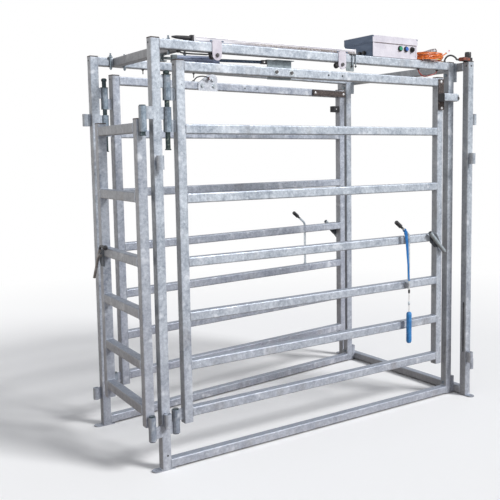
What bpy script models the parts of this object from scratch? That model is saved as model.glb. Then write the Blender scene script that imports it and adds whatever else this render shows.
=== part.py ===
# Cattle drafting gate: a galvanised race frame with three swinging gates and one air cylinder.
# Metres, +Z up. +X runs along the race from the exit end to the entry end, +Y from the front to the back.
# The origin is on the floor, under the middle of the front exit post.

import math

import bmesh
import bpy
from mathutils import Matrix, Vector

for old_object in list(bpy.data.objects):
    bpy.data.objects.remove(old_object, do_unlink=True)

# Stock sections and clearances
TUBE = 0.050
CORNER = 0.006
PLATE = 0.006
GAP = 0.0003
WELD = 0.002
CAP = 0.004
HALF = TUBE / 2

# Race frame
BAY_LENGTH = 2.080
EXIT_WIDTH = 0.820
ENTRY_WIDTH = 1.040
POST_TOP = 2.196
TOP_RAIL_DROP = 0.001
FOOT = 0.006
END_SHIFT = 0.075
END_FRONT = 0.100
END_REAR = 0.150
SIDE_RAIL_X = 0.145
FOOT_TONGUE = 0.050
FOOT_HEEL = 0.045
FOOT_HOLE_R = 0.006
BOLT_R = 0.006
BOLT_HEAD_R = 0.010
BOLT_HEAD = 0.007
TAB_WIDTH = 0.046
TOP_BOLT_DROP = 0.080
BASE_BOLT_RISE = 0.078
CLAMP_APART = 0.045
STUD_ABOVE = 0.026
STRAP_REACH = 0.006

# Gates, measured from the hinge pin along the gate
PIN_OUT = 0.0665
GATE1_GAP = 0.0485
GATE2_GAP = 0.0135
GATE1_LENGTH = BAY_LENGTH - HALF - PIN_OUT - GATE1_GAP
GATE2_LENGTH = BAY_LENGTH - HALF - PIN_OUT - GATE2_GAP
STILE_NEAR = 0.0415
GATE_TOP = 2.096
GATE_BOTTOM = 0.226
RAIL_TOPS = (1.779, 1.427, 1.098, 0.812, 0.555, 0.305)
TOP_RAIL_TOP = 2.091

# End gate
GATE3_PIN_X = -0.0875
GATE3_PIN_Y = -0.046
GATE3_LENGTH = 0.654
GATE3_NEAR = 0.022
GATE3_TOP = 1.800
GATE3_BOTTOM = 0.250
GATE3_TOP_RAIL = 1.783
GATE3_RAIL_TOPS = (1.441, 1.117, 0.851, 0.589, 0.353)
GATE3_TURN = math.radians(87.4)

# Hinges
KNUCKLE_R = 0.021
KNUCKLE_BORE_R = 0.0138
KNUCKLE = 0.062
PIN_R = 0.0125
PIN_HEAD_R = 0.016
PIN_HEAD = 0.019
WASHER_R = 0.024
GATE2_PIN_NECK = 0.034
PIN_TAIL = 0.090
UPPER_KNUCKLE_Z = 1.958
SECOND_KNUCKLE_Z = 1.800
LOWER_KNUCKLE_TOP = 0.243
GATE3_KNUCKLE_R = 0.0195
GATE3_UPPER_Z = 1.800
GATE3_LOWER_TOP = 0.247
GATE3_LUG_TURN = math.radians(20)

# Panel lugs
LUG_R = 0.0185
LUG_BORE_R = 0.0115
LUG_HEIGHT = 0.070
LUG_OUT = 0.030
LUG_PLATE = 0.008

# Gate cylinder
CYLINDER_Z = 2.125
CYLINDER_BASE = Vector((0.130, 0.165))
CYLINDER_PIN_ALONG = 0.6425
CYLINDER_PIN_BEHIND = 0.050
BARREL_R = 0.0195
BARREL_START = 0.060
BARREL_LENGTH = 0.205
END_BLOCK = 0.040
CYLINDER_ROD_R = 0.0085
ROD_STROKE = 0.082
ROD_NOSE = 0.012
FORK_LENGTH = 0.042
FORK_R = 0.0138
FORK_HOLE_R = 0.0108
FORK_CHEEK = 0.006
EAR = 0.006
EAR_R = 0.0165
FORK_CLEAR = 0.0013
CLEVIS_PIN_R = 0.005
BASE_PIN_R = 0.006

# Gate brackets
BRACKET_START = 0.6225
BRACKET_LENGTH = 0.159
BRACKET_LOW = 2.030
BRACKET_HIGH = 2.137
BRACKET_FLANGE = 0.030
BRACKET_BOLTS = (0.6475, 0.7475)
REAR_BRACKET_START = 0.645
REAR_BRACKET_LENGTH = 0.150
REAR_BRACKET_HIGH = 2.142
REAR_BRACKET_BOLTS = (0.675, 0.765)

# Control box
BOX_TO_END = 0.672
BOX_X = BAY_LENGTH - BOX_TO_END
BOX_LENGTH = 0.362
BOX_DEPTH = 0.262
BOX_FRONT = -0.024
BOX_HEIGHT = 0.084
LID_HEIGHT = 0.040
SHEET = 0.002
LID_CLEAR = 0.001
LID_HINGE_R = 0.004
BUTTON_PITCH = 0.050
BUTTON_EDGE = 0.042
BUTTON_Z = 0.0585
BUTTON_R = 0.0115
BUTTON_TRAVEL = 0.005
COLLAR_R = 0.0160
COLLAR_OUT = 0.006
BUTTON_OUT = 0.007

# Aluminium cylinder tube on the front top rail
PROFILE = 0.032
PROFILE_START = 0.222
PROFILE_TO_BOX = 0.118
PROFILE_END = BOX_X - PROFILE_TO_BOX
SADDLE_INSET = 0.118
SADDLES = (0.345, PROFILE_END - SADDLE_INSET)
SADDLE_WIDTH = 0.055
SADDLE_TOP = 0.012
SADDLE_CENTRE = 2.132
SADDLE_PLATE = 0.004
ROLLER_R = 0.012
ROLLER_DISC_R = 0.017

# Latches
LATCH_Z = 1.053
LATCH_FROM_EDGE = 0.080
LATCH_PIPE_R = 0.0135
LATCH_PIPE = 0.190
LATCH_PLATE_GAP = 0.004
LEVER1_TO_END = 0.3195
LEVER2_TO_END = 0.355
LEVER1_ALONG = GATE1_LENGTH - LEVER1_TO_END
LEVER2_ALONG = GATE2_LENGTH - LEVER2_TO_END
LEVER_R = 0.008
LEVER_LOW = 0.766
LEVER_HIGH = 1.112
LEVER_ARM = 0.074
LEVER_RISE = 0.056
GRIP_R = 0.013
GRIP = 0.042
GUIDE_OUT = 0.020
GUIDE_EYE = 0.0125
LOOP_R = 0.0115
GUIDE_HEIGHTS = (1.073, 0.787)
GUIDE_HEIGHT = 0.028

# Buffers and stop arm
HANK_TO_END = 0.180
HANK_X = BAY_LENGTH - HANK_TO_END
HANK_Y = 0.000
HANK_LONG = 0.230
HANK_WIDE = 0.110
HANK_HOSE = 0.008
HANK_PITCH = 0.0094
HANK_LOOPS = 5.25
HANK_END_Y = 0.056
HANK_END_Z = 2.253
GLAND = 0.006
HANK_LEAN = 0.10
VALVE_SHIFT = 0.010
VALVE_X = HANK_X - VALVE_SHIFT
VALVE_Z = 2.246
VALVE_LONG = 0.124
VALVE_WIDE = 0.034
VALVE_HIGH = 0.032
VALVE_TILT = math.radians(16)
HOSE = 0.008
BLACK_HOSE = 0.011
END_X = BAY_LENGTH + END_SHIFT
HOSE_START = Vector((BAY_LENGTH - 0.042, -0.004, 2.1953))
HOSE_END = Vector((END_X - 0.063, -0.068, 2.2120))
HOSE_WAY = Vector((0.70, -0.70, -0.14)).normalized()
SENSOR_SHIFT = 0.024
SENSOR_X = END_X - SENSOR_SHIFT
SENSOR_BASE = 0.022
SENSOR_R = 0.019
SENSOR_HIGH = 0.058
STRIP = 0.012
STRIP_WIDTH = 0.046
BUFFER_LOW = 1.892
BUFFER_SPLIT = 1.992
STOP_ARM_LOW = 1.944
STOP_ARM_LENGTH = 0.117
STOP_ARM_TO_END = 0.125
STOP_ARM_START = BAY_LENGTH - STOP_ARM_TO_END
REAR_STRIP = 0.330

FRAME_TURN = math.atan2(ENTRY_WIDTH - EXIT_WIDTH, BAY_LENGTH)
BASE_LOW = FOOT - WELD / 4
BASE_TOP = FOOT + GAP + TUBE
RAIL_TOP = POST_TOP - TOP_RAIL_DROP
RAIL_LOW = RAIL_TOP - TUBE
END_FRONT_Y = -END_FRONT
END_REAR_Y = ENTRY_WIDTH + END_REAR

collection = bpy.data.collections.new("cattle_drafting_gate")
bpy.context.scene.collection.children.link(collection)
workshop = bpy.data.collections.new("cutters")
bpy.context.scene.collection.children.link(workshop)


# Materials
def make_material(name, colour, roughness, metallic=0.0):
    material = bpy.data.materials.new(name)
    material.use_nodes = True
    shader = material.node_tree.nodes["Principled BSDF"]
    shader.inputs["Base Color"].default_value = (*colour, 1.0)
    shader.inputs["Roughness"].default_value = roughness
    shader.inputs["Metallic"].default_value = metallic
    material.diffuse_color = (*colour, 1.0)
    return material


GALVANISED = ((0.56, 0.60, 0.66), 0.45, 0.85)
ZINC = ((0.30, 0.36, 0.34), 0.40, 0.90)
ALUMINIUM = ((0.80, 0.80, 0.82), 0.30, 0.90)
WHITE = ((0.78, 0.76, 0.80), 0.40, 0.0)
RUBBER = ((0.02, 0.02, 0.022), 0.75, 0.0)
DARK = ((0.06, 0.065, 0.075), 0.55, 0.0)
ORANGE = ((0.80, 0.16, 0.02), 0.50, 0.0)
RED_DARK = ((0.30, 0.03, 0.02), 0.50, 0.0)
BLUE = ((0.04, 0.16, 0.55), 0.50, 0.0)
GREEN = ((0.03, 0.35, 0.16), 0.35, 0.0)
PALE = ((0.55, 0.50, 0.42), 0.70, 0.0)


# Objects and meshes
def add_object(name, data, finish=None, parent=None, home=None):
    obj = bpy.data.objects.new(name, data)
    (home or collection).objects.link(obj)
    if finish:
        data.materials.append(make_material(name, *finish))
    obj.parent = parent
    return obj


def add_pivot(name, place, turn=0.0, parent=None):
    pivot = bpy.data.objects.new(name, None)
    collection.objects.link(pivot)
    pivot.location = place
    pivot.rotation_euler.z = turn
    pivot.parent = parent
    return pivot


def to_mesh(bm, name):
    bmesh.ops.recalc_face_normals(bm, faces=bm.faces)
    mesh = bpy.data.meshes.new(name)
    bm.to_mesh(mesh)
    bm.free()
    return mesh


def draft(mesh, name="piece"):
    return add_object(name, mesh, home=workshop)


def block(low, high, round_along=None, radius=CORNER):
    """A box between two corners; its edges along one axis may be rounded."""
    size = Vector(high) - Vector(low)
    middle = (Vector(high) + Vector(low)) / 2
    bm = bmesh.new()
    bmesh.ops.create_cube(bm, size=1.0, matrix=Matrix.Translation(middle) @ Matrix.Diagonal((*size, 1.0)))
    piece = draft(to_mesh(bm, "block"))
    if round_along is not None:
        weights = piece.data.attributes.new("bevel_weight_edge", "FLOAT", "EDGE")
        for edge in piece.data.edges:
            ends = [piece.data.vertices[index].co for index in edge.vertices]
            along = abs((ends[1] - ends[0])[round_along]) > 0.5 * size[round_along]
            weights.data[edge.index].value = 1.0 if along else 0.0
        bevel = piece.modifiers.new("corners", "BEVEL")
        bevel.limit_method = "WEIGHT"
        bevel.width = radius
        bevel.segments = 2
    return piece


def round_bar(start, end, radius, sides=16):
    """A straight cylinder between two points."""
    start = Vector(start)
    end = Vector(end)
    axis = end - start
    bm = bmesh.new()
    turn = axis.to_track_quat("Z", "Y").to_matrix().to_4x4()
    place = Matrix.Translation((start + end) / 2) @ turn
    bmesh.ops.create_cone(bm, cap_ends=True, segments=sides, radius1=radius, radius2=radius,
                          depth=axis.length, matrix=place)
    return draft(to_mesh(bm, "bar"))


def turned(profile, place=(0, 0, 0), sides=16):
    """A profile of (radius, height) points turned about an upright axis."""
    mesh = bpy.data.meshes.new("profile")
    edges = [(index, index + 1) for index in range(len(profile) - 1)]
    if profile[0][0] > 0:
        edges.append((len(profile) - 1, 0))
    mesh.from_pydata([(radius, 0, height) for radius, height in profile], edges, [])
    piece = draft(mesh)
    screw = piece.modifiers.new("turn", "SCREW")
    screw.steps = sides
    screw.render_steps = sides
    screw.use_merge_vertices = True
    screw.merge_threshold = 0.0001
    piece.location = place
    return piece


def outline_piece(loops, thickness, place=(0, 0, 0), rotation=(0, 0, 0)):
    """A flat outline, its holes as further loops, extruded to a plate about its own plane."""
    curve = bpy.data.curves.new("outline", "CURVE")
    curve.dimensions = "2D"
    curve.fill_mode = "BOTH"
    curve.extrude = thickness / 2
    for loop in loops:
        spline = curve.splines.new("POLY")
        spline.points.add(len(loop) - 1)
        for point, (across, along) in zip(spline.points, loop):
            point.co = (across, along, 0, 1)
        spline.use_cyclic_u = True
    piece = draft(curve)
    piece.location = place
    piece.rotation_euler = rotation
    return piece


def wire(points, radius, resolution=3, smooth_bends=0.0):
    """A round wire or tube along a list of points, with its bends rounded on request."""
    route = soften(points, smooth_bends) if smooth_bends else [Vector(point) for point in points]
    curve = bpy.data.curves.new("wire", "CURVE")
    curve.dimensions = "3D"
    curve.bevel_depth = radius
    curve.bevel_resolution = resolution
    curve.use_fill_caps = True
    spline = curve.splines.new("POLY")
    spline.points.add(len(route) - 1)
    for point, place in zip(spline.points, route):
        point.co = (*place, 1)
    return draft(curve)


def soften(points, radius, steps=4):
    """Replace each corner of a route with a short curve that starts a radius before it."""
    points = [Vector(point) for point in points]
    route = [points[0]]
    for before, corner, after in zip(points, points[1:], points[2:]):
        start = corner + (before - corner).normalized() * min(radius, (before - corner).length / 2)
        end = corner + (after - corner).normalized() * min(radius, (after - corner).length / 2)
        for step in range(steps + 1):
            share = step / steps
            route.append(start.lerp(corner, share).lerp(corner.lerp(end, share), share))
    route.append(points[-1])
    return route


def circle(radius, centre=(0, 0), count=16, start=0.0):
    turns = [start + 2 * math.pi * index / count for index in range(count)]
    return [(centre[0] + radius * math.cos(turn), centre[1] + radius * math.sin(turn)) for turn in turns]


def evaluated(piece):
    """The piece's finished mesh in its parent's space, welded where a curve made it."""
    bpy.context.view_layer.update()
    graph = bpy.context.evaluated_depsgraph_get()
    mesh = bpy.data.meshes.new_from_object(piece.evaluated_get(graph))
    bm = bmesh.new()
    bm.from_mesh(mesh)
    bmesh.ops.remove_doubles(bm, verts=bm.verts, dist=0.00002)
    bmesh.ops.transform(bm, matrix=piece.matrix_basis, verts=bm.verts)
    bmesh.ops.recalc_face_normals(bm, faces=bm.faces)
    bpy.data.meshes.remove(mesh)
    return bm


def settle(piece):
    """Turn a piece into a plain mesh piece with its modifiers applied."""
    mesh = to_mesh(evaluated(piece), "settled")
    bpy.data.objects.remove(piece, do_unlink=True)
    return draft(mesh)


def combine(first, others, operation):
    """One solid from several, by exact Boolean."""
    first = settle(first)
    for other in others:
        tool = settle(other)
        tool.hide_render = True
        tool.display_type = "WIRE"
        step = first.modifiers.new(operation.lower(), "BOOLEAN")
        step.operation = operation
        step.solver = "EXACT"
        step.object = tool
        first = settle(first)
        bpy.data.objects.remove(tool, do_unlink=True)
    return first


def union(first, *others):
    return combine(first, others, "UNION")


def cut(first, *others):
    return combine(first, others, "DIFFERENCE")


def node(name, pieces, finish, parent=None, smooth=True):
    """One named object from one piece or from several separate ones."""
    whole = bmesh.new()
    for piece in pieces:
        part = evaluated(piece)
        mesh = bpy.data.meshes.new("part")
        part.to_mesh(mesh)
        part.free()
        whole.from_mesh(mesh)
        bpy.data.meshes.remove(mesh)
        bpy.data.objects.remove(piece, do_unlink=True)
    mesh = bpy.data.meshes.new(name)
    whole.to_mesh(mesh)
    whole.free()
    if smooth:
        mesh.shade_smooth()
        mesh.set_sharp_from_angle(angle=math.radians(32))
    return add_object(name, mesh, finish, parent)


# Shared shapes
def upright(x, y, low, high):
    return block((x - HALF, y - HALF, low), (x + HALF, y + HALF, high), 2)


def rail_along_x(start, end, y, top):
    return block((start, y - HALF, top - TUBE), (end, y + HALF, top), 0)


def rail_along_y(x, start, end, top):
    return block((x - HALF, start, top - TUBE), (x + HALF, end, top), 1)


def knuckle(place, low, height, direction, reach, radius=KNUCKLE_R, bore=KNUCKLE_BORE_R, plate=PLATE):
    """A hinge tube with the flat lug that welds it on, as one outline raised to its height."""
    half_plate = plate / 2
    root = math.asin(half_plate / radius)
    steps = 12
    loop = [(reach, half_plate)]
    for index in range(steps + 1):
        angle = root + (2 * math.pi - 2 * root) * index / steps
        loop.append((radius * math.cos(angle), radius * math.sin(angle)))
    loop.append((reach, -half_plate))
    loops = [loop, circle(bore, count=12)]
    return outline_piece(loops, height, (place[0], place[1], low + height / 2), (0, 0, direction))


def hex_nut(place, radius, height, axis="Z"):
    middle = Vector(place)
    reach = Vector((0, 0, height / 2))
    if axis == "X":
        reach = Vector((height / 2, 0, 0))
    if axis == "Y":
        reach = Vector((0, height / 2, 0))
    return round_bar(middle - reach, middle + reach, radius, 6)


# Race frame posts and rails
def post(x, y):
    """A post with its plastic cap, which fills the tube's end and stands a cap's height above it."""
    return upright(x, y, BASE_LOW, POST_TOP + CAP)


def foot_plate(x, y, turn):
    """A flat foot with a round pierced tongue that points away from the race."""
    half_width = HALF - GAP
    tongue = [(-FOOT_TONGUE + half_width * math.cos(angle), half_width * math.sin(angle))
              for angle in [math.radians(90 + 20 * step) for step in range(10)]]
    loop = tongue + [(FOOT_HEEL, -half_width), (FOOT_HEEL, half_width)]
    hole = circle(FOOT_HOLE_R, (-FOOT_TONGUE - 0.006, 0), 12)
    return outline_piece([loop, hole], FOOT, (x, y, FOOT / 2), (0, 0, turn))


def panel_lug(place, low, turn):
    """A short tube that a neighbouring panel's pin drops into."""
    return knuckle(place, low, LUG_HEIGHT, turn, LUG_OUT + WELD, LUG_R, LUG_BORE_R, LUG_PLATE)


def build_front_frame():
    """The welded front side: two posts, two rails, the hinge tubes, a foot, two lugs and the stop arm."""
    start = HALF - WELD
    end = BAY_LENGTH - HALF + WELD
    pieces = [post(BAY_LENGTH, 0)]
    pieces += [rail_along_x(start, end, 0, top) for top in (RAIL_TOP, BASE_TOP)]
    pieces.append(foot_plate(0, 0, 0))
    pieces += post_knuckles(gate1_place(), 0.0)
    pieces += end_gate_knuckles()
    for low in (1.552, 0.240):
        pieces.append(panel_lug((-0.004, -HALF - LUG_OUT), low, math.radians(90)))
    y = -TUBE - STRIP
    arm_end = STOP_ARM_START + STOP_ARM_LENGTH
    pieces.append(rail_along_x(STOP_ARM_START, arm_end, y - 2 * GAP, STOP_ARM_LOW + TUBE))
    plate_low = (arm_end - 0.020, y - 0.010, STOP_ARM_LOW + 0.004)
    pieces.append(block(plate_low, (BAY_LENGTH + 0.020, -HALF + WELD, STOP_ARM_LOW + 0.046)))
    frame = union(post(0, 0), *pieces)
    node("front_side_frame", [cut(frame, *bolt_holes(BAY_LENGTH, 0))], GALVANISED)


def slanted_rail(top):
    """A rail along the back of the race, cut square to the posts at both ends."""
    slope = (ENTRY_WIDTH - EXIT_WIDTH) / BAY_LENGTH
    rail = settle(rail_along_x(HALF - WELD, BAY_LENGTH - HALF + WELD, 0, top))
    for vertex in rail.data.vertices:
        vertex.co.y = vertex.co.y / math.cos(FRAME_TURN) + EXIT_WIDTH + slope * vertex.co.x
    return rail


def build_rear_frame():
    """The welded rear side, which runs outwards from the exit to the wider entry."""
    pieces = [post(BAY_LENGTH, ENTRY_WIDTH), slanted_rail(RAIL_TOP), slanted_rail(BASE_TOP)]
    pieces.append(foot_plate(0, EXIT_WIDTH, 0))
    pieces += post_knuckles(gate2_place(), FRAME_TURN)
    for low in (1.796, 0.168):
        pieces.append(panel_lug((-HALF - LUG_OUT, EXIT_WIDTH), low, 0))
    frame = union(post(0, EXIT_WIDTH), *pieces)
    node("rear_side_frame", [cut(frame, *bolt_holes(BAY_LENGTH, ENTRY_WIDTH))], GALVANISED)


def build_end_frame():
    """The welded frame across the entry, with the plates that bolt it to the two sides."""
    near = END_FRONT_Y + HALF - WELD
    far = END_REAR_Y - HALF + WELD
    pieces = [post(END_X, END_REAR_Y)]
    pieces += [rail_along_y(END_X, near, far, top) for top in (RAIL_TOP, BASE_TOP)]
    pieces.append(foot_plate(END_X, END_FRONT_Y, math.radians(90)))
    pieces.append(foot_plate(END_X, END_REAR_Y, math.radians(-90)))
    left = BAY_LENGTH + HALF + GAP
    right = END_X - HALF + WELD
    half_width = TAB_WIDTH / 2
    for y in (0, ENTRY_WIDTH):
        for low, high in ((RAIL_LOW - 0.070, RAIL_TOP - 0.001), (BASE_LOW + 0.001, BASE_TOP + 0.060)):
            pieces.append(block((left, y - half_width, low), (right, y + half_width, high)))
    for low in (1.544, 0.235):
        pieces.append(panel_lug((END_X - 0.012, END_FRONT_Y - HALF - LUG_OUT), low, math.radians(90)))
    for low in (1.796, 0.168):
        pieces.append(panel_lug((END_X + HALF + LUG_OUT, END_FRONT_Y), low, math.radians(180)))
    frame = union(post(END_X, END_FRONT_Y), *pieces)
    holes = bolt_holes(BAY_LENGTH, 0) + bolt_holes(BAY_LENGTH, ENTRY_WIDTH)
    node("end_frame", [cut(frame, *holes)], GALVANISED)


def build_exit_rail():
    """The loose rail across the top of the exit, held up to both sides by four clamps."""
    far = EXIT_WIDTH + SIDE_RAIL_X * math.tan(FRAME_TURN) - HALF / math.cos(FRAME_TURN) - 0.0035
    node("exit_top_rail", [rail_along_y(SIDE_RAIL_X, HALF + GAP, far, RAIL_TOP)], GALVANISED)


def bolt_holes(x, y):
    """Cutters for the two bolts that pass through a post and its tab."""
    heights = (POST_TOP - TOP_BOLT_DROP, BASE_BOLT_RISE)
    return [round_bar((x - TUBE, y, z), (x + TUBE + 0.004, y, z), BOLT_R + GAP, 10) for z in heights]


def build_frame_bolts():
    """The four bolts that hold the end frame to the two side frames."""
    left = BAY_LENGTH - HALF - GAP
    end = END_X - HALF - 0.002
    for side, y in (("front", 0), ("rear", ENTRY_WIDTH)):
        for level, height in (("top", POST_TOP - TOP_BOLT_DROP), ("base", BASE_BOLT_RISE)):
            shank = round_bar((left - BOLT_HEAD / 2, y, height), (end, y, height), BOLT_R, 10)
            head = hex_nut((left - BOLT_HEAD / 2, y, height), BOLT_HEAD_R, BOLT_HEAD, "X")
            node("frame_bolt_" + side + "_" + level, [union(head, shank)], ZINC)


def rail_clamp(x, y, face_side):
    """A threaded stud beside a top rail, with a strap and a nut over the rail and a nut below it."""
    stud_y = y + face_side * (HALF + 0.0085)
    stud = round_bar((x, stud_y, RAIL_LOW - 0.020), (x, stud_y, RAIL_TOP + STUD_ABOVE), 0.005, 12)
    ends = sorted((stud_y + face_side * 0.009, y + face_side * (HALF - STRAP_REACH)))
    strap = block((x - 0.012, ends[0], RAIL_TOP + GAP), (x + 0.012, ends[1], RAIL_TOP + GAP + 0.005))
    upper = hex_nut((x, stud_y, RAIL_TOP + 0.009), 0.0082, 0.009)
    lower = hex_nut((x, stud_y, RAIL_LOW - 0.010), 0.0082, 0.009)
    return union(stud, strap, upper, lower)


def build_rail_clamps():
    """Two clamps at each end of the exit rail, all on the rails' inner faces."""
    slope = math.tan(FRAME_TURN)
    for label, x in (("left", SIDE_RAIL_X - CLAMP_APART), ("right", SIDE_RAIL_X + CLAMP_APART)):
        node("rail_clamp_front_" + label, [rail_clamp(x, 0, 1)], ZINC)
        node("rail_clamp_rear_" + label, [rail_clamp(x, EXIT_WIDTH + slope * x, -1)], ZINC)


# Gates
def gate_rails(near, far, tops):
    return [rail_along_x(near, far, 0, top) for top in tops]


def build_gate(name, place, turn, length, bolts, lever_along, side):
    """A full-height gate: two stiles, a top rail, six more rails, hinge tubes and caps."""
    pivot = add_pivot(name, (*place, 0), turn)
    near_stile = STILE_NEAR + HALF
    far_stile = length - HALF
    near = STILE_NEAR + TUBE - WELD
    far = length - TUBE + WELD
    top = GATE_TOP + CAP
    pieces = [upright(far_stile, 0, GATE_BOTTOM, top)] + gate_rails(near, far, (TOP_RAIL_TOP, *RAIL_TOPS))
    pieces += lever_guides(lever_along, side)
    reach = STILE_NEAR + WELD
    pieces += [knuckle((0, 0), UPPER_KNUCKLE_Z - GAP - KNUCKLE, KNUCKLE, 0, reach),
               knuckle((0, 0), SECOND_KNUCKLE_Z - GAP - KNUCKLE, KNUCKLE, 0, reach),
               knuckle((0, 0), LOWER_KNUCKLE_TOP + GAP, KNUCKLE, 0, reach)]
    frame = union(upright(near_stile, 0, GATE_BOTTOM, top), *pieces)
    middle = TOP_RAIL_TOP - HALF
    holes = [round_bar((along, -TUBE, middle), (along, TUBE, middle), BOLT_R + GAP, 10) for along in bolts]
    for height in GUIDE_HEIGHTS:
        place = Vector((lever_along, side * (HALF + GUIDE_OUT), height))
        reach = Vector((0, 0, 0.05))
        holes.append(round_bar(place - reach, place + reach, LEVER_R + 0.0008, 12))
    node(name + "_frame", [cut(frame, *holes)], GALVANISED, pivot)
    return pivot


def post_knuckles(place, turn):
    reach = PIN_OUT - HALF + WELD
    toward_post = math.pi + turn
    lows = (UPPER_KNUCKLE_Z, SECOND_KNUCKLE_Z, LOWER_KNUCKLE_TOP - KNUCKLE)
    return [knuckle(place, low, KNUCKLE, toward_post, reach) for low in lows]


def upper_pin(place, neck):
    """A long hinge pin through four hinge tubes, with a washer, a neck and a round head."""
    top = UPPER_KNUCKLE_Z + KNUCKLE + GAP
    foot = SECOND_KNUCKLE_Z - GAP - KNUCKLE - PIN_TAIL
    head = top + 0.003 + neck
    profile = [(0, foot), (PIN_HEAD_R, foot), (PIN_HEAD_R, foot + 0.006), (PIN_R, foot + 0.006)]
    profile += [(PIN_R, top), (WASHER_R, top), (WASHER_R, top + 0.003), (PIN_R, top + 0.003), (PIN_R, head)]
    profile += [(PIN_HEAD_R, head + 0.003), (PIN_HEAD_R, head + 0.014), (0.010, head + PIN_HEAD)]
    profile.append((0, head + PIN_HEAD))
    return turned(profile, (*place, 0))


def lower_pin(place, low, high):
    profile = [(0, low), (0.016, low), (0.016, low + 0.004), (PIN_R, low + 0.004), (PIN_R, high + GAP),
               (0.016, high + GAP), (0.016, high + 0.005), (0, high + 0.005)]
    return turned(profile, (*place, 0))


def gate3_place():
    return (GATE3_PIN_X, GATE3_PIN_Y)


def build_pins():
    low = LOWER_KNUCKLE_TOP - KNUCKLE - GAP - 0.004
    for name, place, neck in (("gate1", gate1_place(), 0.001), ("gate2", gate2_place(), GATE2_PIN_NECK)):
        node(name + "_upper_pin", [upper_pin(place, neck)], ZINC)
        node(name + "_lower_pin", [lower_pin(place, low, LOWER_KNUCKLE_TOP + GAP + KNUCKLE)], ZINC)
    upper_low = GATE3_UPPER_Z - GAP - KNUCKLE - 0.020
    node("gate3_upper_pin", [lower_pin(gate3_place(), upper_low, GATE3_UPPER_Z + KNUCKLE)], ZINC)
    lower_low = GATE3_LOWER_TOP - KNUCKLE - GAP - 0.004
    node("gate3_lower_pin", [lower_pin(gate3_place(), lower_low, GATE3_LOWER_TOP + GAP + KNUCKLE)], ZINC)


def gate1_place():
    return (PIN_OUT, 0)


def gate2_place():
    return (PIN_OUT * math.cos(FRAME_TURN), EXIT_WIDTH + PIN_OUT * math.sin(FRAME_TURN))


def build_end_gate():
    """The short gate across the exit, hung on the left side of the front post."""
    pivot = add_pivot("gate3", (*gate3_place(), 0), GATE3_TURN)
    near_stile = GATE3_NEAR + HALF
    far_stile = GATE3_LENGTH - HALF
    near = GATE3_NEAR + TUBE - WELD
    far = GATE3_LENGTH - TUBE + WELD
    top = GATE3_TOP + CAP
    reach = GATE3_NEAR + WELD
    pieces = [upright(far_stile, 0, GATE3_BOTTOM, top)]
    pieces += gate_rails(near, far, (GATE3_TOP_RAIL, *GATE3_RAIL_TOPS))
    pieces += [knuckle((0, 0), GATE3_UPPER_Z - GAP - KNUCKLE, KNUCKLE, 0, reach, GATE3_KNUCKLE_R),
               knuckle((0, 0), GATE3_LOWER_TOP + GAP, KNUCKLE, 0, reach, GATE3_KNUCKLE_R)]
    node("gate3_frame", [union(upright(near_stile, 0, GATE3_BOTTOM, top), *pieces)], GALVANISED, pivot)
    return pivot


def end_gate_knuckles():
    """The end gate's hinge tubes on the post, on lugs that lean back to the post's left face."""
    reach = (-HALF - GATE3_PIN_X) / math.cos(GATE3_LUG_TURN) + 2 * WELD
    lows = (GATE3_UPPER_Z, GATE3_LOWER_TOP - KNUCKLE)
    return [knuckle(gate3_place(), low, KNUCKLE, GATE3_LUG_TURN, reach, GATE3_KNUCKLE_R) for low in lows]


# Latches and hand levers. side is -1 where they sit on a gate's front face and +1 on its back face.
def build_latch(gate, name, edge, side, pipe_radius=LATCH_PIPE_R):
    """A dark plate on the gate and the sloping latch handle that turns on it."""
    along = edge - LATCH_FROM_EDGE
    plate_middle = side * (HALF + GAP + PLATE / 2)
    loop = [(-0.034, 0.046), (0.020, 0.046), (0.066, -0.030), (0.062, -0.044), (0.004, -0.044)]
    loop.append((-0.034, -0.010))
    plate = outline_piece([loop, circle(0.0066, (0, 0), 12)], PLATE, (along, plate_middle, LATCH_Z),
                          (math.radians(90), 0, 0))
    pivot = add_pivot(name + "_latch_pivot", (along, 0, LATCH_Z), 0, gate)
    centre = side * (HALF + GAP + PLATE + LATCH_PLATE_GAP + pipe_radius)
    slope = math.radians(-45)
    start = Vector((-math.cos(slope) * 0.080, centre, -math.sin(slope) * 0.080))
    end = start + Vector((math.cos(slope), 0, math.sin(slope))) * LATCH_PIPE
    pipe = round_bar(start, end, pipe_radius, 16)
    bore_end = start + Vector((math.cos(slope), 0, math.sin(slope))) * 0.030
    bore_start = start - Vector((math.cos(slope), 0, math.sin(slope))) * 0.010
    pipe = cut(pipe, round_bar(bore_start, bore_end, pipe_radius - 0.0028, 12))
    pin_inner = side * (HALF + GAP + 0.0005)
    pin = round_bar((0, pin_inner, 0), (0, centre, 0), 0.006, 12)
    collar_in = side * (HALF + GAP + PLATE + GAP)
    collar = round_bar((0, collar_in, 0), (0, centre, 0), 0.010, 12)
    node(name + "_latch_handle", [union(pipe, collar, pin)], GALVANISED, pivot)
    node(name + "_latch_plate", [plate], DARK, gate)


def lever_guides(along, side):
    """The two eyes on a gate's rails that the hand lever turns in."""
    eye = GUIDE_EYE
    loop = [(-eye, WELD), (-eye, -GUIDE_OUT)]
    loop += [(eye * math.cos(angle), -GUIDE_OUT + eye * math.sin(angle))
             for angle in [math.radians(180 + 30 * step) for step in range(1, 6)]]
    loop += [(eye, -GUIDE_OUT), (eye, WELD)]
    turn = 0 if side < 0 else math.pi
    places = [(along, side * HALF, height) for height in GUIDE_HEIGHTS]
    return [outline_piece([loop], GUIDE_HEIGHT, place, (0, 0, turn)) for place in places]


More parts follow.
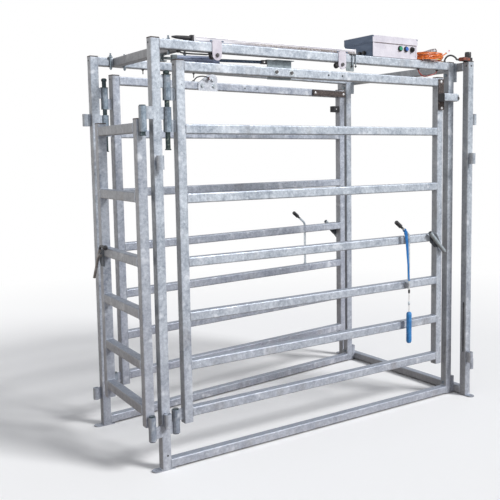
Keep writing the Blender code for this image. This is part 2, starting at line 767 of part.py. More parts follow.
def build_lever(gate, name, along, side):
    """The upright rod with a bent top and a rubber grip, turning in two guides on the gate's rails."""
    out = side * (HALF + GUIDE_OUT)
    pivot = add_pivot(name + "_lever_pivot", (along, out, 0), 0, gate)
    rod = wire([(0, 0, LEVER_LOW), (0, 0, LEVER_HIGH), (-0.040, 0, LEVER_HIGH + 0.030),
                (-LEVER_ARM, 0, LEVER_HIGH + LEVER_RISE)], LEVER_R, 2, 0.022)
    collar_low = GUIDE_HEIGHTS[1] + GUIDE_HEIGHT / 2 + GAP
    collar = round_bar((0, 0, collar_low), (0, 0, collar_low + 0.010), 0.013, 12)
    tip = Vector((-LEVER_ARM, 0, LEVER_HIGH + LEVER_RISE))
    way = Vector((-LEVER_ARM + 0.040, 0, LEVER_RISE - 0.030)).normalized()
    grip_end = GRIP + 0.004
    profile = [(0, -0.006), (GRIP_R, -0.006), (GRIP_R, GRIP), (GRIP_R - 0.003, grip_end), (0, grip_end)]
    grip = settle(turned(profile))
    turn = way.to_track_quat("Z", "Y").to_matrix().to_4x4()
    grip.data.transform(Matrix.Translation(tip) @ turn)
    node(name + "_lever", [union(rod, collar, grip)], ZINC, pivot)
    return pivot


def build_end_latch(gate):
    """The end gate's outside latch: a dark plate, a sloping bar and a short arm with a ball knob."""
    along = GATE3_LENGTH - 0.048
    face = HALF + GAP
    loop = [(-0.036, 0.030), (0.036, 0.030), (0.052, -0.010), (0.012, -0.062), (-0.036, -0.062)]
    place = (along, face + PLATE / 2, LATCH_Z + 0.020)
    plate = outline_piece([loop, circle(0.0066, (0, 0), 12)], PLATE, place, (math.radians(90), 0, 0))
    node("gate3_latch_plate", [plate], DARK, gate)
    pivot = add_pivot("gate3_latch_pivot", (along, 0, LATCH_Z + 0.020), 0, gate)
    centre = face + PLATE + LATCH_PLATE_GAP + LEVER_R
    line = [(-0.100, 0.052), (-0.036, 0.056), (-0.012, 0.030), (0.100, -0.140)]
    bar = wire([(x, centre, z) for x, z in line], LEVER_R, 2, 0.014)
    pin = round_bar((0, face + 0.0005, 0), (0, centre, 0), 0.006, 12)
    hub = round_bar((0, face + PLATE + GAP, 0), (0, centre + LEVER_R, 0), 0.013, 12)
    profile = [(0, -0.014), (0.008, -0.0125), (0.0135, -0.005), (0.0145, 0.002), (0.011, 0.0105), (0, 0.0145)]
    ball = settle(turned(profile, sides=12))
    quarter = Matrix.Rotation(math.radians(90), 4, "Y")
    ball.data.transform(Matrix.Translation((-0.100 - 0.0105, centre, 0.052)) @ quarter)
    node("gate3_latch_handle", [union(bar, hub, pin, ball)], ZINC, pivot)


# Buffers
def build_buffers(gate1, gate2):
    face = -HALF - GAP
    middle = GATE1_LENGTH - HALF
    left = middle - STRIP_WIDTH / 2
    right = middle + STRIP_WIDTH / 2
    strip = block((left, face - STRIP / 2, BUFFER_SPLIT - WELD), (right, face, 2.086))
    pad = block((left, face - STRIP, BUFFER_LOW), (right, face, BUFFER_SPLIT), 2, 0.002)
    node("gate1_buffer", [union(pad, strip)], RUBBER, gate1)
    end = GATE2_LENGTH
    long_strip = block((end - REAR_STRIP, face - STRIP, TOP_RAIL_TOP - TUBE + 0.003),
                       (end - 0.003, face, TOP_RAIL_TOP - 0.004), 0, 0.002)
    stile_face = GATE2_LENGTH - TUBE - GAP
    bumper = block((stile_face - 0.055, -0.022, 1.932), (stile_face, 0.022, 1.976), 0, 0.003)
    node("gate2_buffer_strip", [long_strip], RUBBER, gate2)
    node("gate2_bumper", [bumper], RUBBER, gate2)


# Gate cylinder
def cylinder_geometry():
    """The gate pin's place, the pin-to-pin length and the direction at rest."""
    pin = Vector((PIN_OUT + CYLINDER_PIN_ALONG, CYLINDER_PIN_BEHIND))
    reach = pin - CYLINDER_BASE
    return pin, reach.length, math.atan2(reach.y, reach.x)


def build_cylinder():
    pin, length, turn = cylinder_geometry()
    base = (*CYLINDER_BASE, 0)
    pivot = add_pivot("gate_cylinder", base, turn)
    z = CYLINDER_Z
    tube = round_bar((BARREL_START, 0, z), (BARREL_START + BARREL_LENGTH, 0, z), BARREL_R, 20)
    block_start = BARREL_START + BARREL_LENGTH - 0.001
    rod_start = block_start - 0.045
    half = BARREL_R
    ends = ((block_start, block_start + END_BLOCK), (BARREL_START - 0.014, BARREL_START + 0.012))
    head, rear = [block((low, -half, z - half), (high, half, z + half), 0, 0.004) for low, high in ends]
    arc = [math.radians(90 + 22.5 * step) for step in range(9)]
    loop = [(0.013 * math.cos(angle), 0.013 * math.sin(angle)) for angle in arc]
    tongue = outline_piece([loop + [(0.050, -0.013), (0.050, 0.013)]], 0.012, (0, 0, z))
    body = union(tube, head, rear, tongue)
    pin_hole = round_bar((0, 0, z - 0.02), (0, 0, z + 0.02), BASE_PIN_R + GAP, 12)
    bore_start = rod_start - ROD_STROKE - 0.005
    bore_end = block_start + END_BLOCK + 0.01
    bore = round_bar((bore_start, 0, z), (bore_end, 0, z), CYLINDER_ROD_R + 0.0005, 12)
    body = cut(body, pin_hole, bore)
    ports = [round_bar((along, 0.018, z), (along, 0.032, z), 0.008, 8)
             for along in (BARREL_START, block_start + END_BLOCK / 2)]
    node("cylinder_barrel", [union(body, *ports)], ALUMINIUM, pivot)
    slide = add_pivot("cylinder_slide", (0, 0, 0), 0, pivot)
    fork_start = length - FORK_LENGTH
    rod = round_bar((rod_start, 0, z), (fork_start + 0.004, 0, z), CYLINDER_ROD_R, 12)
    bridge = block((fork_start, -0.013, z - EAR / 2 - FORK_CLEAR - FORK_CHEEK),
                   (fork_start + ROD_NOSE, 0.013, z + EAR / 2 + FORK_CLEAR + FORK_CHEEK))
    pieces = [rod, bridge]
    for side in (-1, 1):
        middle = z + side * (EAR / 2 + FORK_CLEAR + FORK_CHEEK / 2)
        loop = [(-FORK_LENGTH + 0.002, -0.013), (-0.011, -0.013)]
        loop += [(FORK_R * math.cos(a), FORK_R * math.sin(a))
                 for a in [math.radians(-130 + 26 * step) for step in range(11)]]
        loop += [(-0.011, 0.013), (-FORK_LENGTH + 0.002, 0.013)]
        hole = circle(FORK_HOLE_R, (0, 0), 16)
        pieces.append(outline_piece([loop, hole], FORK_CHEEK, (length, 0, middle)))
    node("cylinder_rod", [union(*pieces)], ZINC, slide)


def build_cylinder_mount():
    """The forked hanger under the exit rail, with its pin."""
    x, y = CYLINDER_BASE
    z = CYLINDER_Z
    under_rail = RAIL_LOW - GAP
    low = z - 0.0185
    top_plate = block((x - 0.020, y - 0.018, under_rail - 0.005), (x + 0.014, y + 0.018, under_rail))
    low_plate = block((x - 0.020, y - 0.018, low), (x + 0.014, y + 0.018, low + 0.006))
    back = block((x - 0.024, y - 0.018, low), (x - 0.0165, y + 0.018, under_rail))
    hanger = union(back, top_plate, low_plate)
    hole = round_bar((x, y, z - 0.03), (x, y, z - 0.0132), BASE_PIN_R - 0.001, 12)
    pin = round_bar((x, y, z - 0.0185), (x, y, RAIL_LOW - GAP - 0.0005), BASE_PIN_R, 12)
    node("cylinder_hanger", [union(cut(hanger, hole), pin)], GALVANISED)


def build_gate_bracket(gate):
    """The plate on the back of the gate's top rail, its ear for the clevis pin, and its two bolts."""
    face = HALF + GAP
    start = BRACKET_START
    end = BRACKET_START + BRACKET_LENGTH
    outline = [(start, BRACKET_LOW), (end - 0.012, BRACKET_LOW), (end, BRACKET_LOW + 0.012)]
    outline += [(end, BRACKET_HIGH), (start, BRACKET_HIGH)]
    holes = [circle(BOLT_R + 2 * GAP, (along, TOP_RAIL_TOP - HALF), 10) for along in BRACKET_BOLTS]
    plate = outline_piece([outline, *holes], PLATE, (0, face + PLATE / 2, 0), (math.radians(90), 0, 0))
    ear_y = CYLINDER_PIN_BEHIND
    root = face + PLATE - 0.002
    loop = [(CYLINDER_PIN_ALONG - EAR_R, root), (CYLINDER_PIN_ALONG + EAR_R, root)]
    loop += [(CYLINDER_PIN_ALONG + EAR_R * math.cos(a), ear_y + EAR_R * math.sin(a))
             for a in [math.radians(22.5 * step) for step in range(9)]]
    hole = circle(CLEVIS_PIN_R + GAP, (CYLINDER_PIN_ALONG, ear_y), 10)
    ear = outline_piece([loop, hole], EAR, (0, 0, CYLINDER_Z))
    top = BRACKET_HIGH - 0.001
    flange = block((start + 0.040, face - BRACKET_FLANGE, top - 0.004), (end - 0.001, face + 0.002, top))
    node("gate1_cylinder_bracket", [union(plate, ear, flange)], GALVANISED, gate)
    half_pin = EAR / 2 + FORK_CLEAR + FORK_CHEEK
    centre = Vector((CYLINDER_PIN_ALONG, ear_y, CYLINDER_Z))
    above = Vector((0, 0, half_pin + GAP))
    foot = centre - above - Vector((0, 0, 0.0017))
    pin = round_bar(foot, centre + above + Vector((0, 0, 0.001)), CLEVIS_PIN_R, 10)
    head = round_bar(centre + above, centre + above + Vector((0, 0, 0.003)), FORK_HOLE_R + 0.004, 10)
    node("clevis_pin", [union(pin, head)], ZINC, gate)
    middle = TOP_RAIL_TOP - HALF
    for label, along in zip(("left", "right"), BRACKET_BOLTS):
        shank = round_bar((along, -HALF - 0.003, middle), (along, face + PLATE + 0.012, middle), BOLT_R, 10)
        head = hex_nut((along, -HALF - GAP - BOLT_HEAD / 2, middle), BOLT_HEAD_R, BOLT_HEAD, "Y")
        nut = hex_nut((along, face + PLATE + GAP + 0.004, middle), BOLT_HEAD_R, 0.008, "Y")
        node("gate1_bracket_bolt_" + label, [union(head, shank, nut)], ZINC, gate)


def build_rear_bracket(gate):
    """The sheet bracket with an air fitting on the rear gate's top rail."""
    face = -HALF - GAP
    low = TOP_RAIL_TOP - TUBE - 0.006
    start = REAR_BRACKET_START
    end = start + REAR_BRACKET_LENGTH
    high = REAR_BRACKET_HIGH
    round_top = [(end - 0.034 + 0.034 * math.cos(a), high - 0.034 + 0.034 * math.sin(a))
                 for a in [math.radians(15 * step) for step in range(7)]]
    outline = [(start, low), (end, low)] + round_top + [(start + 0.075, high - 0.006), (start, high - 0.058)]
    middle = TOP_RAIL_TOP - HALF
    plate = outline_piece([outline], PLATE, (0, face - PLATE / 2, 0), (math.radians(90), 0, 0))
    front = face - PLATE
    parts = []
    for along in REAR_BRACKET_BOLTS:
        parts.append(round_bar((along, front - 0.001, middle), (along, HALF + 0.010, middle), BOLT_R, 10))
        parts.append(hex_nut((along, front - BOLT_HEAD / 2 + 0.001, middle), BOLT_HEAD_R, BOLT_HEAD, "Y"))
    parts.append(hex_nut((end - 0.040, front - 0.004, high - 0.034), 0.012, 0.010, "Y"))
    fitting = Vector((start + 0.078, front, high - 0.028))
    parts.append(round_bar(fitting + Vector((0, WELD, 0)), fitting - Vector((0, 0.026, 0)), 0.010, 12))
    node("gate2_bracket", [union(plate, *parts)], GALVANISED, gate)


# Aluminium tube on the front top rail
def build_profile():
    low = RAIL_TOP + GAP
    front = -0.010
    tube = block((PROFILE_START, front, low), (PROFILE_END, front + PROFILE, low + PROFILE), 0, 0.006)
    node("rail_tube", [tube], ALUMINIUM)
    middle_y = front + PROFILE / 2
    middle_z = low + PROFILE / 2
    cap_face = PROFILE_START - GAP - 0.012
    cap = block((cap_face, front, low), (PROFILE_START - GAP, front + PROFILE, low + PROFILE), 0, 0.006)
    profile = [(0, -0.004), (0.011, -0.004), (0.011, 0.030), (0.0085, 0.080), (0.004, 0.104), (0, 0.106)]
    boot = settle(turned(profile, sides=12))
    quarter = Matrix.Rotation(math.radians(-90), 4, "Y")
    boot.data.transform(Matrix.Translation((cap_face, middle_y, middle_z)) @ quarter)
    node("rail_tube_boot", [union(cap, boot)], RUBBER)


def saddle_plate(x, y):
    """A round-ended plate that hangs on the rail's front face from the aluminium tube's edge."""
    half_width = SADDLE_WIDTH / 2
    top = RAIL_TOP + SADDLE_TOP
    arc = [(x + half_width * math.cos(a), SADDLE_CENTRE + half_width * math.sin(a))
           for a in [math.radians(180 + 20 * step) for step in range(10)]]
    right = x + half_width
    left = x - half_width
    outline = arc + [(right, top - 0.010), (right - 0.010, top), (left + 0.010, top), (left, top - 0.010)]
    hole = circle(BOLT_R + GAP, (x, SADDLE_CENTRE), 10)
    return outline_piece([outline, hole], SADDLE_PLATE, (0, y, 0), (math.radians(90), 0, 0))


def build_saddles():
    front = -HALF - GAP - SADDLE_PLATE / 2
    for label, x in zip(("left", "right"), SADDLES):
        node("saddle_plate_" + label, [saddle_plate(x, front)], WHITE)
        outer = front - SADDLE_PLATE / 2 - GAP
        head = hex_nut((x, outer - BOLT_HEAD / 2, SADDLE_CENTRE), BOLT_HEAD_R, BOLT_HEAD, "Y")
        shank = round_bar((x, outer - 0.002, SADDLE_CENTRE), (x, -HALF + 0.004, SADDLE_CENTRE), BOLT_R, 10)
        bush = round_bar((x, -HALF + 0.002, SADDLE_CENTRE), (x, HALF + 0.004, SADDLE_CENTRE), ROLLER_R, 14)
        inner = HALF + 0.003
        disc = round_bar((x, inner, SADDLE_CENTRE), (x, inner + 0.006, SADDLE_CENTRE), ROLLER_DISC_R, 18)
        node("saddle_bolt_" + label, [union(head, shank, bush, disc)], ZINC)


# Control box
def build_control_box():
    low = RAIL_TOP + GAP
    left = BOX_X
    right = BOX_X + BOX_LENGTH
    front = BOX_FRONT
    rear = BOX_FRONT + BOX_DEPTH
    rim = low + BOX_HEIGHT
    shell = block((left, front, low), (right, rear, rim))
    inside = block((left + SHEET, front + SHEET, low + SHEET), (right - SHEET, rear - SHEET, rim + 0.01))
    z = low + BUTTON_Z
    places = [button_x(index) for index in range(3)]
    holes = [round_bar((x, front - 0.02, z), (x, front + 0.01, z), BUTTON_R + 0.001, 16) for x in places]
    hinge_y = rear + LID_CLEAR + SHEET + LID_HINGE_R + 0.0005
    hinge_z = rim + 0.0005
    hinges = []
    lid_hinges = []
    for x in (left + 0.060, right - 0.060):
        hinges.append(round_bar((x - 0.018, hinge_y, hinge_z), (x + 0.018, hinge_y, hinge_z), 0.0017, 8))
        for near in (x - 0.020, x + 0.007):
            far = near + 0.013
            hinges.append(round_bar((near, hinge_y, hinge_z), (far, hinge_y, hinge_z), LID_HINGE_R, 8))
            leaf_low = (near, rear - 0.001, hinge_z - 0.016)
            hinges.append(block(leaf_low, (far, hinge_y + 0.002, hinge_z - 0.002)))
        tube = round_bar((x - 0.0065, 0, 0), (x + 0.0065, 0, 0), LID_HINGE_R, 8)
        ear = block((x - 0.0065, -LID_HINGE_R - 0.002, 0.0005), (x + 0.0065, 0.0005, LID_HINGE_R - 0.0004))
        lid_hinges.append(cut(union(tube, ear), round_bar((x - 0.02, 0, 0), (x + 0.02, 0, 0), 0.0021, 8)))
    shell = union(shell, *hinges, *box_collars())
    node("control_box", [cut(shell, inside, *holes)], WHITE)
    lid_pivot = add_pivot("lid_pivot", (0, hinge_y, hinge_z))
    skirt = LID_CLEAR + SHEET
    low_y = front - skirt - hinge_y
    high_y = rear + skirt - hinge_y
    outer = block((left - skirt, low_y, 0), (right + skirt, high_y, LID_HEIGHT))
    inner_low = (left - LID_CLEAR, low_y + SHEET, -0.010)
    hollow = block(inner_low, (right + LID_CLEAR, high_y - SHEET, LID_HEIGHT - SHEET))
    node("control_box_lid", [union(cut(outer, hollow), *lid_hinges)], WHITE, lid_pivot)
    return low


def button_x(index):
    return BOX_X + BOX_LENGTH - BUTTON_EDGE - index * BUTTON_PITCH


def box_collars():
    """The button collars on the front and the two hose glands on the left side."""
    z = RAIL_TOP + GAP + BUTTON_Z
    outer = BOX_FRONT - COLLAR_OUT
    places = [button_x(index) for index in range(3)]
    pieces = [round_bar((x, outer, z), (x, BOX_FRONT + 0.001, z), COLLAR_R, 16) for x in places]
    gland_z = RAIL_TOP + 0.026
    for y in (0.045, 0.085):
        pieces.append(round_bar((BOX_X - 0.018, y, gland_z), (BOX_X + 0.001, y, gland_z), 0.011, 8))
    inlet = Vector((BOX_X + BOX_LENGTH, HANK_END_Y, HANK_END_Z))
    pieces.append(round_bar(inlet - Vector((0.001, 0, 0)), inlet + Vector((GLAND, 0, 0)), 0.008, 12))
    return pieces


def build_buttons():
    z = RAIL_TOP + GAP + BUTTON_Z
    face = BOX_FRONT - COLLAR_OUT - BUTTON_OUT
    buttons = (("selector_knob", RUBBER), ("blue_button", BLUE), ("green_button", GREEN))
    for index, (name, finish) in enumerate(buttons):
        pivot = add_pivot(name + "_pivot", (button_x(index), 0, z))
        body = round_bar((0, face, 0), (0, BOX_FRONT + 0.012, 0), BUTTON_R, 16)
        if name == "selector_knob":
            body = union(body, block((-0.0035, face - 0.010, -0.0085), (0.0035, face + 0.001, 0.0085)))
        node(name, [body], finish, pivot)


def build_hose_valve():
    """The dark valve that lies tilted inside the hose hank, on a small foot on the rail."""
    low = RAIL_TOP + GAP
    half = Vector((VALVE_LONG, VALVE_WIDE, VALVE_HIGH)) / 2
    body = settle(block(-half, half, 1, 0.005))
    turn = Matrix.Rotation(-VALVE_TILT, 4, "Y")
    body.data.transform(Matrix.Translation((VALVE_X, 0, VALVE_Z)) @ turn)
    along = Vector((math.cos(VALVE_TILT), 0, math.sin(VALVE_TILT)))
    end = Vector((VALVE_X, 0, VALVE_Z)) + along * VALVE_LONG / 2
    knob = round_bar(end - along * WELD, end + along * 0.011, 0.012, 12)
    foot = block((VALVE_X - 0.045, -0.016, low), (VALVE_X + 0.040, 0.016, low + 0.004))
    web = block((VALVE_X - 0.030, -0.004, low + 0.002), (VALVE_X + 0.022, 0.004, VALVE_Z))
    node("hose_valve", [union(body, knob, foot, web)], DARK)


def build_post_sensor():
    """The dark block with a black round cap on top of the front end post."""
    low = POST_TOP + CAP + GAP
    y = END_FRONT_Y
    left = SENSOR_X - 0.040
    base = block((left, y - 0.022, low), (left + 0.080, y + 0.022, low + SENSOR_BASE), 2, 0.004)
    shoulder = low + SENSOR_BASE - WELD
    high = low + SENSOR_HIGH
    profile = [(0, shoulder), (SENSOR_R, shoulder), (SENSOR_R, high - 0.003)]
    profile += [(SENSOR_R - 0.003, high), (0, high)]
    cap = turned(profile, (END_X - 0.005, y, 0))
    inlet = round_bar(HOSE_END + HOSE_WAY * 0.022, HOSE_END + HOSE_WAY * 4 * GAP, 0.0075, 12)
    node("post_sensor", [union(base, cap, inlet)], RUBBER)


# Hoses and the pull cord
def smooth_route(points, steps):
    """A Catmull-Rom curve through the route's points."""
    points = [Vector(point) for point in points]
    padded = [2 * points[0] - points[1]] + points + [2 * points[-1] - points[-2]]
    route = []
    for a, b, c, d in zip(padded, padded[1:], padded[2:], padded[3:]):
        for step in range(steps):
            t = step / steps
            route.append(0.5 * (2 * b + (c - a) * t + (2 * a - 5 * b + 4 * c - d) * t * t
                                + (3 * b - a - 3 * c + d) * t ** 3))
    route.append(points[-1])
    return route


def hank_route():
    """The orange hose: flat oval loops lying on the top rail, each a pitch above the last."""
    route = []
    count = round(HANK_LOOPS * 24)
    for step in range(count + 1):
        turns = step / 24
        angle = 2 * math.pi * turns
        lean = HANK_LEAN * math.sin(1.9 * turns)
        long = HANK_LONG / 2 - 0.010 * abs(math.sin(0.9 * turns))
        wide = HANK_WIDE / 2 - 0.004 * abs(math.sin(1.3 * turns))
        x = long * math.cos(angle)
        y = wide * math.sin(angle)
        z = RAIL_TOP + HANK_HOSE / 2 + HANK_PITCH * turns
        route.append(Vector((HANK_X + x * math.cos(lean) - y * math.sin(lean),
                             HANK_Y + x * math.sin(lean) + y * math.cos(lean), z)))
    gland = BOX_X + BOX_LENGTH + GLAND + GAP
    leave = route[-1]
    inlet = Vector((gland + 0.014, HANK_END_Y, HANK_END_Z))
    for share in (0.25, 0.5, 0.75):
        eased = share * share * (3 - 2 * share)
        way = inlet - leave
        route.append(leave + Vector((way.x * share, way.y * eased, way.z * eased)))
    route.append(Vector((gland + 0.014, HANK_END_Y, HANK_END_Z)))
    route.append(Vector((gland, HANK_END_Y, HANK_END_Z)))
    return route


def least_gap(route, diameter, along):
    """The least distance between two stretches of one route that are further apart than this many points."""
    gaps = [(a - b).length for i, a in enumerate(route) for b in route[i + along:]]
    return min(gaps) - diameter


def build_hoses():
    hank = hank_route()
    print("orange hose, least gap to itself", round(1000 * least_gap(hank, HANK_HOSE, 16), 2), "mm")
    node("orange_hose_hank", [wire(hank, HANK_HOSE / 2, 1)], ORANGE)
    span = HOSE_END - HOSE_START
    rises = ((0, 0), (0, 0.010), (0.05, 0.024), (0.19, 0.038), (0.40, 0.045), (0.62, 0.041), (0.82, 0.029))
    loop = [HOSE_START + Vector((span.x * share, span.y * share, rise)) for share, rise in rises]
    loop += [HOSE_END - HOSE_WAY * 0.008, HOSE_END]
    node("black_hose", [wire(smooth_route(loop, 4), BLACK_HOSE / 2, 2)], RUBBER)
    under = RAIL_LOW - 0.001
    run = [(0.318, -0.004, under), (0.317, -0.004, under - 0.006), (0.308, -0.004, under - 0.010),
           (0.270, -0.004, under - 0.009), (0.210, -0.004, under - 0.012), (0.145, -0.004, under - 0.010),
           (0.136, -0.004, under - 0.006), (0.135, -0.004, under)]
    node("exit_hose", [wire(smooth_route(run, 4), HOSE / 2, 2)], RUBBER)
    drop = [(1.802, -0.004, under), (1.803, -0.006, under - 0.012), (1.816, -0.012, under - 0.036),
            (1.853, -0.010, under - 0.046), (1.897, -0.002, under - 0.034), (1.932, -0.006, under - 0.030),
            (1.967, -0.004, under - 0.012), (1.968, -0.004, under)]
    node("entry_hose", [wire(smooth_route(drop, 4), HOSE / 2, 2)], RED_DARK)


def build_pull(pivot):
    """The strap, line and handle that hang from the front gate's hand lever."""
    y = -GUIDE_EYE - 0.004
    top = LEVER_HIGH + 0.010
    outline = [(-0.054, top + 0.012), (-0.028, top + 0.018), (-0.014, 0.950), (-0.006, 0.815)]
    outline += [(-0.017, 0.815), (-0.030, 0.950)]
    strap = outline_piece([outline], 0.003, (0, y, 0), (math.radians(90), 0, 0))
    half = 0.006
    root = math.asin(half / LOOP_R)
    arc = [(LOOP_R * math.sin(a), -LOOP_R * math.cos(a))
           for a in [root + (2 * math.pi - 2 * root) * step / 12 for step in range(13)]]
    loop = [(half, y + 0.001)] + arc + [(-half, y + 0.001)]
    arm = math.atan2(-0.040, 0.030)
    ring_place = (-0.036, 0, LEVER_HIGH + 0.027)
    ring = outline_piece([loop, circle(LEVER_R + GAP, count=16)], 0.010, ring_place, (0, arm, 0))
    line_x = -0.0115
    line = round_bar((line_x, y, 0.820), (line_x, y, 0.620), 0.0022, 6)
    clip = block((line_x - 0.0055, y - 0.004, 0.739), (line_x + 0.0055, y + 0.004, 0.764), 2, 0.002)
    profile = [(0, 0.662), (0.006, 0.666), (0.007, 0.675), (0.006, 0.684), (0, 0.688)]
    swivel = turned(profile, (line_x, y, 0), 8)
    node("pull_cord", [union(strap, ring, line, clip, swivel)], BLUE, pivot)
    handle = block((line_x - 0.017, y - 0.014, 0.421), (line_x + 0.017, y + 0.014, 0.6195), 2, 0.009)
    node("pull_handle", [handle], BLUE, pivot)


def build_hanging_strap():
    """The black strap tied to the front end post, which hangs on the post's left face."""
    x = END_X - HALF - GAP - 0.004
    profile = [(0, 0.299), (0.0025, 0.302), (0.0035, 0.350), (0.0040, 0.400), (0.0036, 0.425)]
    profile += [(0.0036, 0.455), (0.0028, 0.480), (0.0028, 0.590), (0.0038, 0.600)]
    profile += [(0.0038, 0.625), (0, 0.634)]
    node("hanging_strap", [turned(profile, (x, END_FRONT_Y - 0.006, 0), 8)], RUBBER)


# Build
build_front_frame()
build_rear_frame()
build_end_frame()
build_exit_rail()
build_frame_bolts()
build_rail_clamps()
gate1 = build_gate("gate1", gate1_place(), 0.0, GATE1_LENGTH, BRACKET_BOLTS, LEVER1_ALONG, -1)
gate2 = build_gate("gate2", gate2_place(), FRAME_TURN, GATE2_LENGTH, REAR_BRACKET_BOLTS, LEVER2_ALONG, 1)
gate3 = build_end_gate()
build_pins()
build_latch(gate1, "gate1", GATE1_LENGTH, -1)
build_latch(gate2, "gate2", GATE2_LENGTH, 1)
lever = build_lever(gate1, "gate1", LEVER1_ALONG, -1)
build_lever(gate2, "gate2", LEVER2_ALONG, 1)
build_pull(lever)
build_end_latch(gate3)
build_buffers(gate1, gate2)
build_cylinder()
build_cylinder_mount()
build_gate_bracket(gate1)
build_rear_bracket(gate2)
build_profile()
build_saddles()
build_control_box()
build_buttons()
build_hose_valve()
build_post_sensor()
build_hoses()
build_hanging_strap()

total = 0
for obj in collection.objects:
    if obj.type == "MESH":
        obj.data.calc_loop_triangles()
        total += len(obj.data.loop_triangles)
print("nodes", sum(1 for obj in collection.objects if obj.type == "MESH"), "triangles", total)
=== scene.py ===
# Surface look of the cattle drafting gate: weathered galvanised steel, rubber, hoses and a pale studio floor.
import random
from math import atan2, copysign, cos, hypot, pi, radians, sin, sqrt, tan

import bmesh
import bpy
from mathutils import Matrix, Vector


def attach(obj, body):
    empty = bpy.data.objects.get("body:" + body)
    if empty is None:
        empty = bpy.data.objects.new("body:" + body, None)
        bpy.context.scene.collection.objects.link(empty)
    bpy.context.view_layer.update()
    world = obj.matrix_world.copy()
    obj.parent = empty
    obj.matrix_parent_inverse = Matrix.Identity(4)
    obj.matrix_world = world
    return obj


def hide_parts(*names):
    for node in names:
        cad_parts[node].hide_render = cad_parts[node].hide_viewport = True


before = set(bpy.data.objects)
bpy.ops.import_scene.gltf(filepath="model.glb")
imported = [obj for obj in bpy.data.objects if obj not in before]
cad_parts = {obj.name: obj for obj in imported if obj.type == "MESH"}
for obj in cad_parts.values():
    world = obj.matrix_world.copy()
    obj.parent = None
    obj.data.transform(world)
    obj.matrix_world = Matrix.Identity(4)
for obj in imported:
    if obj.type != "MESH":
        bpy.data.objects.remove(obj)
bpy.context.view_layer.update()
nodes = {name: bpy.data.objects[name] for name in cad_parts}
looks = {}
RACE = "race_frame"

# Sizes repeated from the part, in metres
HALF = 0.025
FACE = 0.0252
BAY, SPLAY, REAR, END_X = 2.08, 0.22, 0.82, 2.155
TURN = atan2(SPLAY, BAY)
TURN3 = radians(87.4)
PIN_REACH = 0.0665
TOP_RAIL, BASE_RAIL = 2.17, 0.0313
ON_RAIL = 2.1953
UNDER_RAIL = 2.144
BOLT_ROW = 2.066
POST_CAP, GATE_CAP, GATE3_CAP, NO_CAP = 2.1962, 2.0962, 1.8003, 9
HINGE_TUBE_REACH = 0.0205
PINS = (Vector((PIN_REACH, 0)), Vector((PIN_REACH * cos(TURN), REAR + PIN_REACH * sin(TURN))),
    Vector((-0.0875, -0.046)))


def at(x, y, z):
    return Matrix.Translation((x, y, z))


# A gate's own X runs from its pin along the gate.
G1, G2, G3 = (at(pin.x, pin.y, 0) @ Matrix.Rotation(turn, 4, "Z") for pin, turn in zip(PINS, (0, TURN, TURN3)))
FRAMES = {RACE: Matrix(), "gate1": G1, "gate2": G2, "gate3": G3}
STILES = {"gate1": (PIN_REACH, 1.915), "gate2": (PIN_REACH, 1.95), "gate3": (0.047, 0.629)}
LONG_GATE = ((2.091, 1.779, 1.427, 1.098, 0.812, 0.555, 0.305),
             ((1.8957, 1.9577), (1.7377, 1.7997), (0.2433, 0.3053)))
END_GATE = ((1.783, 1.441, 1.117, 0.851, 0.589, 0.353), ((1.7377, 1.7997), (0.2473, 0.3093)))
RAIL_TOPS_AND_KNUCKLES = {"gate1": LONG_GATE, "gate2": LONG_GATE, "gate3": END_GATE}
# Turns that point local Z one way
FRONT = Matrix.Rotation(radians(90), 4, "X")
BACK = Matrix.Rotation(radians(-90), 4, "X")
LEFT = Matrix.Rotation(radians(-90), 4, "Y")
RIGHT = Matrix.Rotation(radians(90), 4, "Y")
DOWN = Matrix.Rotation(pi, 4, "X")
HEXAGON = [radians(60 * side) for side in range(6)]


def new_object(name, data):
    made = bpy.data.objects.new(name, data)
    bpy.context.scene.collection.objects.link(made)
    return made


def add_camera():
    """The photo's view, found from its edges."""
    place, forward, roll = (-1.6172, -3.4621, 1.618), Vector((0.57036, 0.81517, -0.10091)), -0.0123
    camera = new_object("photo_camera", bpy.data.cameras.new("photo_camera"))
    turn = forward.to_track_quat("-Z", "Y").to_matrix().to_4x4()
    camera.matrix_world = at(*place) @ turn @ Matrix.Rotation(roll, 4, "Z")
    camera.data.sensor_width = 36
    camera.data.lens = 54.11
    camera.data.shift_x = -0.0792
    camera.data.shift_y = -0.0382
    bpy.context.scene.camera = camera


# Cords. Each follows the part's own route, and replaces the plain solid there.
def smooth_route(points, steps):
    points = [Vector(point) for point in points]
    padded = [2 * points[0] - points[1]] + points + [2 * points[-1] - points[-2]]
    route = []
    for a, b, c, d in zip(padded, padded[1:], padded[2:], padded[3:]):
        for step in range(steps):
            t = step / steps
            route.append(0.5 * (2 * b + (c - a) * t + (2 * a - 5 * b + 4 * c - d) * t * t
                                + (3 * b - a - 3 * c + d) * t ** 3))
    route.append(points[-1])
    return route


def hose(name, route, diameter, look, body=RACE, node=None):
    """A round tube along a route, which may take the place of a CAD node."""
    data = bpy.data.curves.new(name, "CURVE")
    data.dimensions = "3D"
    data.bevel_depth = diameter / 2
    data.bevel_resolution = 5
    data.use_fill_caps = True
    spline = data.splines.new("POLY")
    spline.points.add(len(route) - 1)
    for point, place in zip(spline.points, route):
        point.co = (*place, 1)
    spline.use_smooth = True
    data.materials.append(looks[look])
    piece = new_object(name, data)
    if node:
        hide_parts(node)
    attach(piece, body)
    return piece


